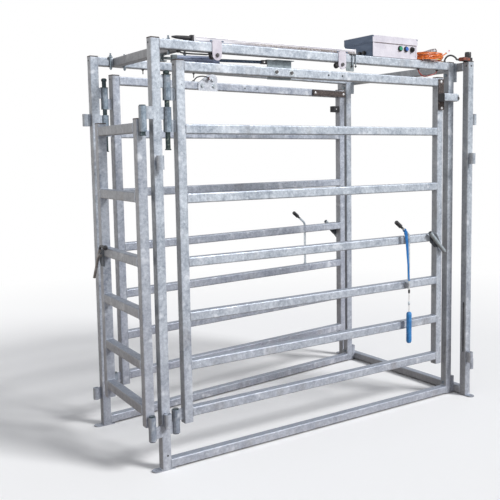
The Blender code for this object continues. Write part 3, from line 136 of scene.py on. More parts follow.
def hank_route():
    """The orange hose's route in the part, from the middle of the hank to the gland of the box."""
    centre_x, base, rise_per_turn, steps_per_turn = 1.9, 2.199, 0.0094, 24
    gland = Vector((1.7763, 0.056, 2.253))
    route = []
    for step in range(127):
        turns = step / steps_per_turn
        angle = 2 * pi * turns
        lean = 0.1 * sin(1.9 * turns)
        x = (0.115 - 0.01 * abs(sin(0.9 * turns))) * cos(angle)
        y = (0.055 - 0.004 * abs(sin(1.3 * turns))) * sin(angle)
        route.append(Vector((centre_x + x * cos(lean) - y * sin(lean),
            x * sin(lean) + y * cos(lean), base + rise_per_turn * turns)))
    leave = route[-1]
    inlet = Vector((1.7903, 0.056, 2.253))
    way = inlet - leave
    for share in (0.25, 0.5, 0.75):
        eased = share * share * (3 - 2 * share)
        route.append(leave + Vector((way.x * share, way.y * eased, way.z * eased)))
    return route + [inlet, gland]


def add_cords():
    hank = list(reversed(smooth_route(hank_route(), 2)))
    piece = hose("orange_hose", hank, 0.008, "orange", node="orange_hose_hank")
    profile = mm(0, 0, 5.2, 0, 5.2, 10, 4.5, 11, 4.5, 13, 0, 13.5)
    fitting = lathe_piece("hose_connector", profile,
        aim(hank[-1] + (hank[-2] - hank[-1]) * 0.4, hank[-1] - hank[-2]), "brass")

    start = Vector((2.038, -0.004, ON_RAIL))
    end = Vector((2.092, -0.068, 2.212))
    way = Vector((0.7, -0.7, -0.14)).normalized()
    span = end - start
    rises = ((0, 0), (0, 0.01), (0.05, 0.024), (0.19, 0.038), (0.4, 0.045), (0.62, 0.041), (0.82, 0.029))
    loop = smooth_route([start + Vector((span.x * share, span.y * share, rise)) for share, rise in rises]
                        + [end - way * 0.008, end], 4)
    piece = hose("sensor_hose", loop, 0.011, "hose", node="black_hose")

    # X, Y and the drop below the rail's underside
    runs = {
        "exit_air_hose": ("exit_hose", "hose", (
            (0.318, -0.004, 0), (0.311, -0.004, 0.0054), (0.3028, -0.004, 0.0088), (0.294, -0.004, 0.01),
            (0.27, -0.004, 0.01), (0.21, -0.004, 0.0115), (0.178, -0.004, 0.0108), (0.159, -0.004, 0.01),
            (0.1502, -0.004, 0.0088), (0.142, -0.004, 0.0054), (0.135, -0.004, 0))),
        "entry_air_hose": ("entry_hose", "red", (
            (1.802, -0.004, 0), (1.804, -0.006, 0.013), (1.8115, -0.01, 0.028), (1.827, -0.012, 0.04),
            (1.85, -0.01, 0.0445), (1.876, -0.006, 0.0415), (1.902, -0.003, 0.0355), (1.928, -0.004, 0.03),
            (1.948, -0.005, 0.023), (1.961, -0.005, 0.013), (1.968, -0.004, 0))),
    }
    for name, (node, look, points) in runs.items():
        route = smooth_route([(x, y, UNDER_RAIL - drop) for x, y, drop in points], 4)
        piece = hose(name, route, 0.008, look, node=node)
    add_hanging_strap()
    add_pull()


def add_hanging_strap():
    """A thin black strap on the end post, knotted at the top, with a thick grip below."""
    x, y, top, length, steps = 2.1257, -0.106, 0.634, 0.335, 22
    route = [Vector((x + 0.0004 * sin(9 * i / steps), y + 0.0004 * sin(6 * i / steps),
        top - length * i / steps)) for i in range(steps + 1)]
    piece = hose("hanging_strap_cord", route, 0.0052, "rubber", node="hanging_strap")
    up = Vector((0, 0, 1))
    knot_profile = mm(0, 0, 3, 1, 3.8, 6, 3, 12, 3.6, 18, 3.8, 26, 2.8, 33, 0, 34)
    grip_profile = mm(0, 0, 3.2, 2, 3.8, 30, 3.9, 70, 3.4, 115, 0, 120)
    knot = lathe_piece("strap_knot", knot_profile, aim((x, y, 0.598), up), "rubber")
    grip = lathe_piece("strap_grip", grip_profile, aim((x, y, 0.335), up), "plastic")


def add_pull():
    """Blue webbing strap on the hand lever, a clip, a pale cord with a swivel, and the blue handle."""
    body = "gate1_hand_lever"
    lever_x, lever_y = 1.687, -0.045
    y = lever_y - 0.0165
    line_x = lever_x - 0.0115

    # Height, shift along the gate and half width, down the strap
    rows = [(1.137, -0.041, 0.012), (1.12, -0.038, 0.0118), (1.07, -0.0322, 0.0112), (1.01, -0.0262, 0.0098),
        (0.95, -0.022, 0.008), (0.905, -0.0182, 0.007), (0.86, -0.0146, 0.0061), (0.818, -0.0116, 0.0055)]
    section = [(-1, -0.0007), (-0.92, -0.0014), (0.92, -0.0014), (1, -0.0007),
        (1, 0.0007), (0.92, 0.0014), (-0.92, 0.0014), (-1, 0.0007)]
    fine = [tuple(p + (q - p) * (step / 5) for p, q in zip(a, b)) for a, b in zip(rows, rows[1:]) for step in range(5)]
    fine.append(rows[-1])
    bm = bmesh.new()
    rings = []
    for z, x, half in fine:
        ripple = 0.0004 * sin(z * 46)
        rings.append([bm.verts.new((lever_x + x + half * u, y + v + ripple, z)) for u, v in section])
    skin(bm, rings)
    strap = mesh_piece("pull_strap", bm, "strap", body)
    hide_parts("pull_cord")

    bm = bmesh.new()
    arm = at(lever_x - 0.036, lever_y, 1.139) @ Matrix.Rotation(atan2(-0.04, 0.03), 4, "Y")
    lathe(bm, mm(8.6, -5.5, 11.2, -5.5, 12, -3, 12, 3, 11.2, 5.5, 8.6, 5.5), arm, 20, True)
    soft_box(bm, (lever_x - 0.049, y - 0.0018, 1.112), (lever_x - 0.027, y + 0.0095, 1.134), 0.003)
    ring = mesh_piece("pull_ring", bm, "strap", body)
    clip = box_piece("pull_clip", "plastic",
        ((line_x - 0.0058, y - 0.0042, 0.739), (line_x + 0.0058, y + 0.0042, 0.764), 0.002),
        ((line_x - 0.004, y - 0.0048, 0.744), (line_x + 0.004, y + 0.0048, 0.75), 0.001),
        ((line_x - 0.0062, y - 0.0026, 0.758), (line_x + 0.0062, y + 0.0026, 0.761), 0.001), body=body)

    route = [Vector((line_x + 0.0003 * sin(i * 1.9), y + 0.0003 * sin(i * 1.3), 0.82 - 0.2 * i / 20))
        for i in range(21)]
    line = hose("pull_line", route, 0.0042, "pale", body)
    profile = [(0, 0.662), (0.0045, 0.663), (0.006, 0.666), (0.007, 0.671), (0.0055, 0.6745), (0.007, 0.678),
        (0.006, 0.684), (0.003, 0.687), (0, 0.688)]
    swivel = lathe_piece("pull_swivel", profile, at(line_x, y, 0), "bright", body)
    handle = pull_grip(line_x, y, body)
    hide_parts("pull_handle")


def pull_grip(x, y, body):
    """The blue handle: rounded square in section, with ribs and swelling ends."""
    low, high, steps, sides, squareness, end_round = 0.421, 0.6195, 40, 20, 0.72, 0.012
    bm = bmesh.new()
    rings = []
    for step in range(steps + 1):
        t = step / steps
        end = min(t, 1 - t) * (high - low)
        swell = min(1, 0.62 + 0.38 * sqrt(max(0, min(end, end_round) / end_round)))
        rib = 0.0007 * (1 if 6 < step < steps - 6 and step % 3 == 0 else 0)
        ring = []
        for side in range(sides):
            angle = 2 * pi * side / sides
            c, s = cos(angle), sin(angle)
            u = copysign(abs(c) ** squareness, c) * (0.0168 * swell - rib)
            v = copysign(abs(s) ** squareness, s) * (0.0138 * swell - rib)
            ring.append(bm.verts.new((x + u, y + v, low + (high - low) * t)))
        rings.append(ring)
    skin(bm, rings)
    return mesh_piece("pull_grip", bm, "pull", body)


# Small shapes
def mesh_piece(name, bm, look, body=RACE, smooth=True):
    bmesh.ops.recalc_face_normals(bm, faces=bm.faces)
    data = bpy.data.meshes.new(name)
    bm.to_mesh(data)
    bm.free()
    data.materials.append(looks[look])
    if smooth:
        for face in data.polygons:
            face.use_smooth = True
        data.set_sharp_from_angle(angle=radians(40))
    piece = new_object(name, data)
    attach(piece, body)
    return piece


def aim(place, way):
    """A frame at a place whose local Z points along a way."""
    return at(*place) @ Vector(way).to_track_quat("Z", "Y").to_matrix().to_4x4()


def spot(x, y, z, turn=FRONT, body=RACE):
    """A frame at a place in a body's own axes, turned to face one way."""
    return FRAMES[body] @ at(x, y, z) @ turn


def skin(bm, rings, ends=True):
    """Joins each ring of points to the next, and closes the two ends."""
    for a, b in zip(rings, rings[1:]):
        for i in range(len(a)):
            j = (i + 1) % len(a)
            bm.faces.new((a[i], a[j], b[j], b[i]))
    if ends:
        bm.faces.new(rings[0])
        bm.faces.new(list(reversed(rings[-1])))


def lathe(bm, profile, where=Matrix(), sides=20, closed=False):
    """(radius, height) points turned about local Z and placed by a matrix."""
    rings = []
    for radius, height in profile:
        if radius < 1e-6:
            rings.append([bm.verts.new(where @ Vector((0, 0, height)))])
            continue
        angles = [2 * pi * side / sides for side in range(sides)]
        rings.append([bm.verts.new(where @ Vector((radius * cos(a), radius * sin(a), height))) for a in angles])
    pairs = list(zip(rings, rings[1:]))
    if closed:
        pairs.append((rings[-1], rings[0]))
    for a, b in pairs:
        if len(a) == len(b) == 1:
            continue
        for i in range(sides):
            j = (i + 1) % sides
            if len(a) == 1:
                bm.faces.new((a[0], b[i], b[j]))
            elif len(b) == 1:
                bm.faces.new((a[i], b[0], a[j]))
            else:
                bm.faces.new((a[i], b[i], b[j], a[j]))


def mm(*numbers):
    """A profile's (radius, height) pairs in metres, from a row of millimetres."""
    return [(radius / 1000, height / 1000) for radius, height in zip(numbers[::2], numbers[1::2])]


def plug(radius, base, shoulder, top_radius, top):
    """The profile of a solid disc or stud with a bevelled end."""
    return [(0, base), (radius, base), (radius, shoulder), (top_radius, top), (0, top)]


def lathe_piece(name, profile, where, look, body=RACE, sides=20, closed=False):
    bm = bmesh.new()
    lathe(bm, profile, where, sides, closed)
    return mesh_piece(name, bm, look, body)


def soft_box(bm, low, high, radius=0.001, where=Matrix()):
    """A box with rounded edges."""
    low, high = Vector(low), Vector(high)
    made = bmesh.ops.create_cube(
        bm, size=1, matrix=where @ at(*(low + high) / 2) @ Matrix.Diagonal((*(high - low), 1)))
    edges = list({edge for vert in made["verts"] for edge in vert.link_edges})
    bmesh.ops.bevel(bm, geom=edges, offset=radius, segments=2, affect="EDGES", profile=0.5)


def box_piece(name, look, *boxes, body=RACE, where=Matrix()):
    """A piece made of soft boxes, each given by two corners and a radius."""
    bm = bmesh.new()
    for low, high, radius in boxes:
        soft_box(bm, low, high, radius, where)
    return mesh_piece(name, bm, look, body, False)


def hex_head(bm, where, radius=0.01, height=0.007, washer=0.0145):
    """A hexagon bolt head on a washer, its face chamfered, pointing along local Z."""
    lathe(bm, plug(washer, 0, 0.0012, washer - 0.0004, 0.0016), where, 24)
    lathe(bm, plug(radius, 0.0014, height - 0.0012, radius * 0.9, height), where, 6)
    lathe(bm, [(0, height - 0.0003), (radius * 0.62, height - 0.0003), (radius * 0.56, height + 0.0004),
        (0, height + 0.0002)], where, 16)


def ring_washer(bm, where, inner, outer, thick=0.0016):
    lathe(bm, [(inner, 0), (outer, 0), (outer, thick * 0.7), (outer - 0.0005, thick), (inner, thick)],
          where, 28, True)


def screw_head(bm, where, radius=0.0065):
    """A pan-head screw."""
    lathe(bm, [(0, -0.0004), (radius, -0.0004), (radius, 0.0008), (radius * 0.8, 0.0021), (radius * 0.35, 0.0027),
        (0, 0.0027)], where, 18)


def hole(bm, where, radius):
    """A drilled hole's dark mouth: a shallow dish with a slightly raised burr."""
    lathe(bm, [(0, 0.00005), (radius * 0.8, 0.0001), (radius, 0.0004), (radius * 1.12, 0.0002),
        (radius * 1.2, -0.0003)], where, 18)


def weld_loop(bm, where, half=HALF, thick=0.0026, seed=0):
    """A weld bead round a square tube's end: a rounded square path in the local XY plane."""
    rng = random.Random(seed)
    corner = 0.006
    flat = half - corner
    corners = ((flat, flat), (-flat, flat), (-flat, -flat), (flat, -flat))
    path = []
    for quarter, (x, y) in enumerate(corners):
        for step in range(3):
            angle = radians(90 * quarter + 45 * step)
            across, along = corner * cos(angle), corner * sin(angle)
            path.append(Vector((x + across, y + along, 0)))
        start = path[-1]
        x, y = corners[(quarter + 1) % 4]
        end = Vector((x + across, y + along, 0))
        path += [start + (end - start) * step / 6 for step in range(1, 6)]
    rings = []
    for index, point in enumerate(path):
        way = (path[(index + 1) % len(path)] - path[index - 1]).normalized()
        out = way.cross(Vector((0, 0, 1)))
        size = thick * (0.82 + 0.36 * rng.random())
        rings.append([bm.verts.new(where @ (point + out * size * cos(a) + Vector((0, 0, size * sin(a)))))
            for a in HEXAGON])
    skin(bm, rings + rings[:1], ends=False)


def bead(bm, start, end, thick=0.0024, seed=0):
    """A straight weld bead between two points, with a rippled back."""
    rng = random.Random(seed)
    start, end = Vector(start), Vector(end)
    way = (end - start).normalized()
    side = way.cross(Vector((0.3, 0.5, 0.81))).normalized()
    other = way.cross(side)
    count = max(4, int((end - start).length / 0.0045))
    rings = []
    for index in range(count + 1):
        t = index / count
        size = thick * (0.8 + 0.4 * rng.random()) * (0.5 if index in (0, count) else 1)
        rings.append([bm.verts.new(start + (end - start) * t + side * size * cos(a) + other * size * sin(a))
            for a in HEXAGON])
    skin(bm, rings)


# Details on the steelwork
def add_gate_welds():
    for gate, (tops, knuckles) in RAIL_TOPS_AND_KNUCKLES.items():
        near, far = STILES[gate]
        bm = bmesh.new()
        for index, top in enumerate(tops):
            for side, x in enumerate((near + HALF, far - HALF)):
                weld_loop(bm, spot(x, 0, top - HALF, RIGHT, gate), seed=index * 2 + side)
        x = near - HALF - 0.001
        for low, high in knuckles:
            for side in (-1, 1):
                bead(bm, FRAMES[gate] @ Vector((x, side * 0.004, low + 0.001)),
                     FRAMES[gate] @ Vector((x, side * 0.004, high - 0.001)), 0.0022, int(low * 100) + side)
        mesh_piece(gate + "_welds", bm, "weld", gate)


def add_frame_welds():
    rear = at(0, REAR, 0) @ Matrix.Rotation(TURN, 4, "Z")
    length = hypot(BAY, SPLAY)
    for name, axes, turn, seed, ends in (
            ("front_frame_welds", Matrix(), RIGHT, 0, ((HALF, 0), (BAY - HALF, 0))),
            ("rear_frame_welds", rear, RIGHT, 20, ((FACE, 0), (length - FACE, 0))),
            ("end_frame_welds", Matrix(), BACK, 40, ((END_X, -0.075), (END_X, 1.165)))):
        bm = bmesh.new()
        places = [(x, y, z) for z in (TOP_RAIL, BASE_RAIL) for x, y in ends]
        for index, place in enumerate(places):
            weld_loop(bm, axes @ at(*place) @ turn, seed=seed + index)
        if name == "front_frame_welds":
            add_post_beads(bm)
        mesh_piece(name, bm, "weld")


def add_post_beads(bm):
    """Beads along the exit post's hinge tubes and round its foot."""
    for low in (1.958, 1.8, 0.181):
        for side in (-1, 1):
            bead(bm, (0.0262, side * 0.0042, low), (0.0262, side * 0.0042, low + 0.062), 0.0023, int(low * 90) + side)
    for x, y in ((-0.026, -0.026), (0.026, -0.026), (-0.026, 0.026), (0.026, 0.026)):
        bead(bm, (x, y, 0.0068), (x, -y, 0.0068), 0.0028, int(x * 1000))


def add_holes():
    def through(*places):
        """Holes right through a gate's top rail."""
        return [(x, side * FACE, BOLT_ROW, turn, 0.0046) for x in places for side, turn in ((-1, FRONT), (1, BACK))]

    stile_hole = (0.0413, 0.004, 2.074, LEFT, 0.0045)
    for name, body, rows in (
            ("front_vent_holes", RACE, (
                (-FACE, 0.004, 2.174, LEFT, 0.005), (END_X, -0.1252, TOP_RAIL, FRONT, 0.0052),
                (2.1298, -0.104, TOP_RAIL, LEFT, 0.0045), (0.004, -FACE, 0.078, FRONT, 0.0045))),
            ("rear_vent_holes", RACE, (
                (-FACE, 0.824, 2.174, LEFT, 0.005), (END_X, 1.2152, TOP_RAIL, BACK, 0.0052))),
            ("gate1_holes", "gate1", (
                *through(1.0075, 1.1085), stile_hole, (0.07, -FACE, 1.975, FRONT, 0.0016))),
            ("gate2_holes", "gate2", (*through(1.027, 1.13), stile_hole)),
            ("gate3_holes", "gate3", ((0.0218, -0.003, 1.77, LEFT, 0.0045),))):
        bm = bmesh.new()
        for x, y, z, turn, radius in rows:
            hole(bm, spot(x, y, z, turn, body), radius)
        mesh_piece(name, bm, "hole", body)


def add_pips(bm, gate, left, right, y, base, rows, pitch, sides):
    """Rows of small raised rings, every second row half a step over."""
    step = 0.008
    for row in range(rows):
        for column in range(34):
            x = left + column * step + (step / 2 if row % 2 else 0)
            if x < right:
                lathe(bm, mm(1.4, -0.3, 2.6, -0.1, 2.2, 0.7, 1.4, 0.5),
                      spot(x, y, base + row * pitch, FRONT, gate), sides, True)


def add_buffers():
    """Screws in the perforated rubber, and the perforation itself as small raised rings on the buffers."""
    thin, thick = -0.0313, -0.0373
    for gate, places in (("gate1", ((1.915, thin, 2.07), (1.915, thick, 1.903))),
            ("gate2", ((1.665, thick, 2.065), (1.953, thick, 2.065)))):
        bm = bmesh.new()
        for x, y, z in places:
            ring_washer(bm, spot(x, y, z, body=gate), 0.0015, 0.0088, 0.0012)
            screw_head(bm, spot(x, y - 0.0008, z, body=gate))
        mesh_piece(gate + "_buffer_screws", bm, "white", gate)
    bm = bmesh.new()
    screw_head(bm, spot(1.8925, -0.0222, 1.954, body="gate2"), 0.005)
    mesh_piece("gate2_bumper_screw", bm, "white", "gate2")
    bm = bmesh.new()
    add_pips(bm, "gate1", 1.899, 1.934, thin, 1.998, 8, 0.008, 8)
    add_pips(bm, "gate1", 1.899, 1.934, thick, 1.916, 9, 0.008, 8)
    mesh_piece("gate1_buffer_pips", bm, "pips", "gate1")
    bm = bmesh.new()
    add_pips(bm, "gate2", 1.678, 1.943, thick, 2.05, 5, 0.0075, 6)
    mesh_piece("gate2_buffer_pips", bm, "pips", "gate2")


def add_bolts():
    """Bolts and washers of the brackets, the rear gate's air fitting and hose, and the stop arm's bolts."""
    bm = bmesh.new()
    for x in (0.6475, 0.7475):
        ring_washer(bm, spot(x, -0.0253, BOLT_ROW, FRONT, "gate1"), 0.0098, 0.0165, 0.0018)
        ring_washer(bm, spot(x, 0.0316, BOLT_ROW, BACK, "gate1"), 0.0098, 0.015, 0.0018)
    mesh_piece("gate1_bolt_washers", bm, "bright", "gate1")
    bm = bmesh.new()
    for x in (0.675, 0.765):
        hex_head(bm, spot(x, -0.0375, BOLT_ROW, body="gate2"), 0.0088, 0.002, 0.0102)
        ring_washer(bm, spot(x, -0.0313, BOLT_ROW, body="gate2"), 0.0098, 0.0155)
    ring_washer(bm, spot(0.755, -0.0313, 2.108, body="gate2"), 0.0115, 0.0185)
    mesh_piece("gate2_bolt_washers", bm, "bright", "gate2")

    profile = mm(4.5, 0, 10.2, 0, 10.8, 2, 10.8, 7, 9.8, 9, 4.5, 9)
    lathe_piece("gate2_fitting_ring", profile, spot(0.723, -0.048, 2.114, body="gate2"), "red_ring", "gate2", 20, True)
    profile = mm(3.6, 0, 8.8, 0, 8.8, 3.5, 6.6, 8, 4.2, 9, 3.6, 9)
    lathe_piece("gate2_hose_grommet", profile, G2 @ at(0.626, -0.004, 2.0908), "plastic", "gate2", 18, True)
    route = smooth_route([G2 @ Vector(point) for point in (
        (0.723, -0.05, 2.114), (0.7, -0.054, 2.119), (0.67, -0.046, 2.124), (0.64, -0.03, 2.118),
        (0.63, -0.014, 2.104), (0.626, -0.004, 2.0905))], 6)
    piece = hose("gate2_air_hose", route, 0.0076, "hose", "gate2")

    bm = bmesh.new()
    hex_head(bm, spot(2.1003, -0.061, 1.966, RIGHT), 0.0105, 0.01, 0.0155)
    hex_head(bm, spot(2.085, -0.0728, 1.966), 0.0095, 0.007, 0.014)
    mesh_piece("stop_arm_bolts", bm, "dark_bolt", smooth=False)
    # A black plug on the stop arm's -X end, standing in for the shade there: painted shade
    box_piece("stop_arm_painted_shade_plug", "plastic",
        ((1.9515, -0.087, 1.9445), (1.9548, -0.0382, 1.9935), 0.0012),
        ((1.95, -0.08, 1.9515), (1.952, -0.0452, 1.9865), 0.0008))


def add_rail_gear():
    """A U-bolt round the front rail, the tab under it, studs with nuts, and the hose fittings."""
    left, right, y = 1.245, 1.27, -0.029
    route = smooth_route([(left, y, 2.118), (left, y, 2.15), (left, y, 2.188), (1.2455, -0.027, 2.1955),
        (1.247, -0.018, 2.1985), (1.2575, -0.014, 2.199), (1.268, -0.018, 2.1985),
        (1.2695, -0.027, 2.1955), (right, y, 2.188), (right, y, 2.15), (right, y, 2.118)], 4)
    hose("rail_u_bolt", route, 0.006, "zinc")
    bm = bmesh.new()
    for x in (left, right):
        hex_head(bm, spot(x, y, 2.129, DOWN), 0.0062, 0.0056, 0.008)
    soft_box(bm, (1.228, -0.033, 2.1925), (1.28, -0.0252, 2.1985), 0.0012)
    mesh_piece("rail_u_bolt_nuts", bm, "dark_bolt", smooth=False)

    bm = bmesh.new()
    outline = [(1.193, 2.1445), (1.262, 2.1445), (1.262, 2.1), (1.258, 2.097), (1.21, 2.097), (1.206, 2.1)]
    skin(bm, [[bm.verts.new((x, y, z)) for x, z in outline] for y in (-0.024, -0.02)])
    bmesh.ops.bevel(bm, geom=list(bm.edges), offset=0.0006, segments=1, affect="EDGES")
    soft_box(bm, (1.19, -0.0245, 2.1405), (1.265, -0.013, 2.1447), 0.0008)
    mesh_piece("rail_tab", bm, "plate_zinc", smooth=False)

    bm = bmesh.new()
    for places, profile in (
            ((0.318, 0.135), [(0, 2.1455), (0.0105, 2.1455), (0.0105, 2.138), (0.0085, 2.1365), (0.0085, 2.134),
            (0, 2.134)]),
            ((1.802, 1.968), plug(0.0095, 2.1455, 2.14, 0.0075, 2.1385)),
            ((2.038,), [(0, 2.1948), (0.0095, 2.1948), (0.0095, 2.2), (0.007, 2.205), (0.0062, 2.209),
                        (0, 2.209)])):
        for x in places:
            lathe(bm, profile, at(x, -0.004, 0), 16)
    mesh_piece("hose_bushings", bm, "plastic")

    bm = bmesh.new()
    for x in (0.6975, 0.33):
        y = 0.825 + x * tan(TURN)
        lathe(bm, plug(0.0032, 2.146, 2.118, 0.0024, 2.1165), at(x, y, 0), 12)
        hex_head(bm, spot(x, y, 2.1448, DOWN), 0.0068, 0.007, 0.0105)
    mesh_piece("rear_rail_studs", bm, "dark_bolt", smooth=False)


def add_box_details():
    """The control box's trim, seal, dark slate side panels that are painted shade, corner pads, button collars and
    glands, and the valves inside.
    """
    low = ON_RAIL
    box_piece("box_front_trim", "enamel",
        ((1.4085, -0.0256, low + 0.0005), (1.42, -0.0236, low + 0.083), 0.0007),
        ((1.758, -0.0256, low + 0.0005), (1.7695, -0.0236, low + 0.083), 0.0007),
        ((1.419, -0.025, low + 0.0005), (1.759, -0.0236, low + 0.006), 0.0005))
    box_piece("box_front_seal", "seal", ((1.4185, -0.0268, 2.2768), (1.765, -0.0238, 2.28), 0.0005))
    # Dark slate sheets on the box's and the lid's -X sides are painted shade
    box_piece("box_side_painted_shade", "slate",
        ((1.4055, -0.018, 2.2766), (1.4082, 0.232, 2.28), 0.0005),
        ((1.4062, -0.015, low + 0.004), (1.4082, 0.229, low + 0.073), 0.0008))
    box_piece("lid_side_painted_shade", "slate", ((1.404, -0.02, 2.283), (1.4056, 0.234, 2.317), 0.0007), body="lid")
    box_piece("lid_corner_pads", "slate", *[
        ((x, front, 2.309), (x + 0.01, back, 2.319), radius) for x in (1.4045, 1.7635)
        for front, back, radius in ((-0.0275, -0.024, 0.0015), (0.239, 0.2415, 0.001))], body="lid")

    selector_x, blue_x, green_x, z = 1.728, 1.678, 1.628, low + 0.0585
    collar = mm(12.4, -1, 17.2, -1, 17.2, 4.5, 16, 6.6, 12.8, 6.8, 12.4, 6)
    for index, x in enumerate((selector_x, blue_x, green_x)):
        lathe_piece("button_collar_%d" % index, collar, spot(x, -0.024, z), "plastic", RACE, 28, True)
    cap = mm(11.7, 3.5, 11.7, 6.2, 10.8, 7, 9.4, 6.4, 0, 5.8)
    for colour, x in (("blue", blue_x), ("green", green_x)):
        lathe_piece(colour + "_cap", cap, spot(x, -0.03, z), colour, colour + "_push", 28)
    box_piece("selector_mark", "white",
        ((selector_x - 0.0006, -0.0477, z + 0.0025), (selector_x + 0.0006, -0.0468, z + 0.008), 0.0003),
        body="selector")

    bm = bmesh.new()
    for y in (0.045, 0.085):
        place = spot(1.4078, y, 2.221, LEFT)
        lathe(bm, mm(11.2, 0, 12.2, 0, 12.2, 9, 10.8, 11.5, 11.2, 12), place, 6, True)
        lathe(bm, mm(0, 16.5, 7, 16.5, 8.4, 18, 6, 18.6, 0, 18.6), place, 14)
    lathe(bm, mm(4.2, 1, 9, 1, 9, 5.8, 7, 7.8, 6, 18, 4.6, 25, 4.2, 25), spot(1.77, 0.056, 2.253, RIGHT), 16, True)
    mesh_piece("box_glands", bm, "plastic")

    bm = bmesh.new()
    soft_box(bm, (1.5, 0.03, 2.1976), (1.69, 0.18, 2.201), 0.001)
    for index in range(4):
        x = 1.512 + index * 0.043
        soft_box(bm, (x, 0.06, 2.2008), (x + 0.036, 0.15, 2.233), 0.002)
        soft_box(bm, (x + 0.005, 0.066, 2.2325), (x + 0.031, 0.1, 2.244), 0.002)
        lathe(bm, plug(0.0055, 0, 0.009, 0.004, 0.01), at(x + 0.018, 0.128, 2.2325), 14)
        lathe(bm, plug(0.006, 0, 0.012, 0.0045, 0.014), spot(x + 0.018, 0.0605, 2.215), 14)
    mesh_piece("box_valve_island", bm, "slate", smooth=False)


def add_sensor_details():
    box_piece("sensor_base_cover", "rust",
        ((2.0885, -0.1225, 2.201), (2.1475, -0.0775, 2.2226), 0.003),
        ((2.0925, -0.1205, 2.2218), (2.13, -0.0795, 2.2236), 0.0012))
    x, y, radius, ribs = 2.15, -0.1, 0.0197, 16
    bm = bmesh.new()
    lathe(bm, [(0.0185, 2.224), (0.0198, 2.2242), (0.0198, 2.256), (0.0186, 2.258), (0.016, 2.2586), (0, 2.2586)],
          at(x, y, 0), 32)
    for index in range(ribs):
        angle = 2 * pi * index / ribs
        place = at(x + radius * cos(angle), y + radius * sin(angle), 0)
        soft_box(bm, (-0.0006, -0.0011, 2.229), (0.0007, 0.0011, 2.252), 0.0004,
            place @ Matrix.Rotation(angle, 4, "Z"))
    mesh_piece("sensor_cap", bm, "plastic")


def add_hank_details():
    """The short orange tail with its pale tip, the yellow tie and the valve's face."""
    route = smooth_route([(2.006, -0.012, 2.2365), (2.022, -0.008, 2.242), (2.046, -0.002, 2.252),
        (2.06, 0, 2.2602)], 5)
    tail = hose("hose_tail", route, 0.008, "orange")
    end = aim((2.056, 0, 2.2578), Vector((0.044, 0, 0.027)).normalized())
    tip_profile = mm(0, 0, 5.2, 0, 5.6, 2, 5.6, 8, 4.6, 10, 4.6, 24, 4, 26, 0, 26)
    ring_profile = mm(0, 24.5, 4.7, 24.5, 5, 28, 5, 33, 3.6, 35.5, 0, 35)
    tip = lathe_piece("hose_tip", tip_profile, end, "white", sides=18)
    ring = lathe_piece("hose_tip_ring", ring_profile, end, "pink", sides=18)
    box_piece("hank_tie", "yellow", *[
        ((x - 0.01, -0.0605, 2.2015 + lift), (x + 0.014, -0.057, 2.2058 + lift), 0.0012)
        for x, lift in ((1.919, 0), (1.926, 0.0008))])
    tilt = at(1.89, 0, 2.246) @ Matrix.Rotation(-radians(16), 4, "Y")
    box_piece("valve_face", "valve_grey",
        ((-0.056, -0.0182, -0.012), (0.05, -0.0166, 0.0125), 0.0008),
        ((-0.05, -0.012, 0.0156), (0.046, 0.012, 0.0178), 0.001), where=tilt)
    bm = bmesh.new()
    for x in (0.02, 0.038):
        lathe(bm, mm(3, 0, 6.2, 0, 6.2, 1.6, 5, 2.4, 3, 2), tilt @ at(x, -0.0178, 0.003) @ FRONT, 16, True)
    for x in (-0.04, 0.044):
        screw_head(bm, tilt @ at(x, -0.018, 0.007) @ FRONT, 0.003)
    mesh_piece("valve_screws", bm, "bright")


def add_tube_details():
    """End bands on the aluminium tube, and the clips beside its saddles."""
    box_piece("rail_tube_bands", "white", *[
        ((x, -0.0112, 2.1952), (x + 0.012, 0.0232, 2.2284), 0.003) for x in (0.2225, 1.278)])
    box_piece("saddle_clips", "slate", *[
        ((x + left, -0.03, 2.199), (x + right, -0.0246, 2.206), 0.001)
        for x in (0.345, 1.172) for left, right in ((-0.04, -0.0285), (0.0285, 0.04))])


def add_caps():
    """The dark edge of each pressed-in cap, proud of its tube by the lip's thickness."""
    posts = ((0, 0), (BAY, 0), (END_X, -0.1), (END_X, 1.19), (0, REAR), (BAY, REAR + SPLAY))
    rows = [("post_cap_rims", RACE, 2.1965, posts)]
    for gate, z in (("gate1", 2.0965), ("gate2", 2.0965), ("gate3", 1.8005)):
        rows.append((gate + "_cap_rims", gate, z, [(x, 0) for x in STILES[gate]]))
    for name, body, z, places in rows:
        bm = bmesh.new()
        for index, (x, y) in enumerate(places):
            weld_loop(bm, spot(x, y, z, Matrix(), body), 0.0246, 0.0019, index)
        mesh_piece(name, bm, "cap", body)


# Materials
LIGHT, DARK = (0.66, 0.715, 0.78), (0.235, 0.275, 0.335)


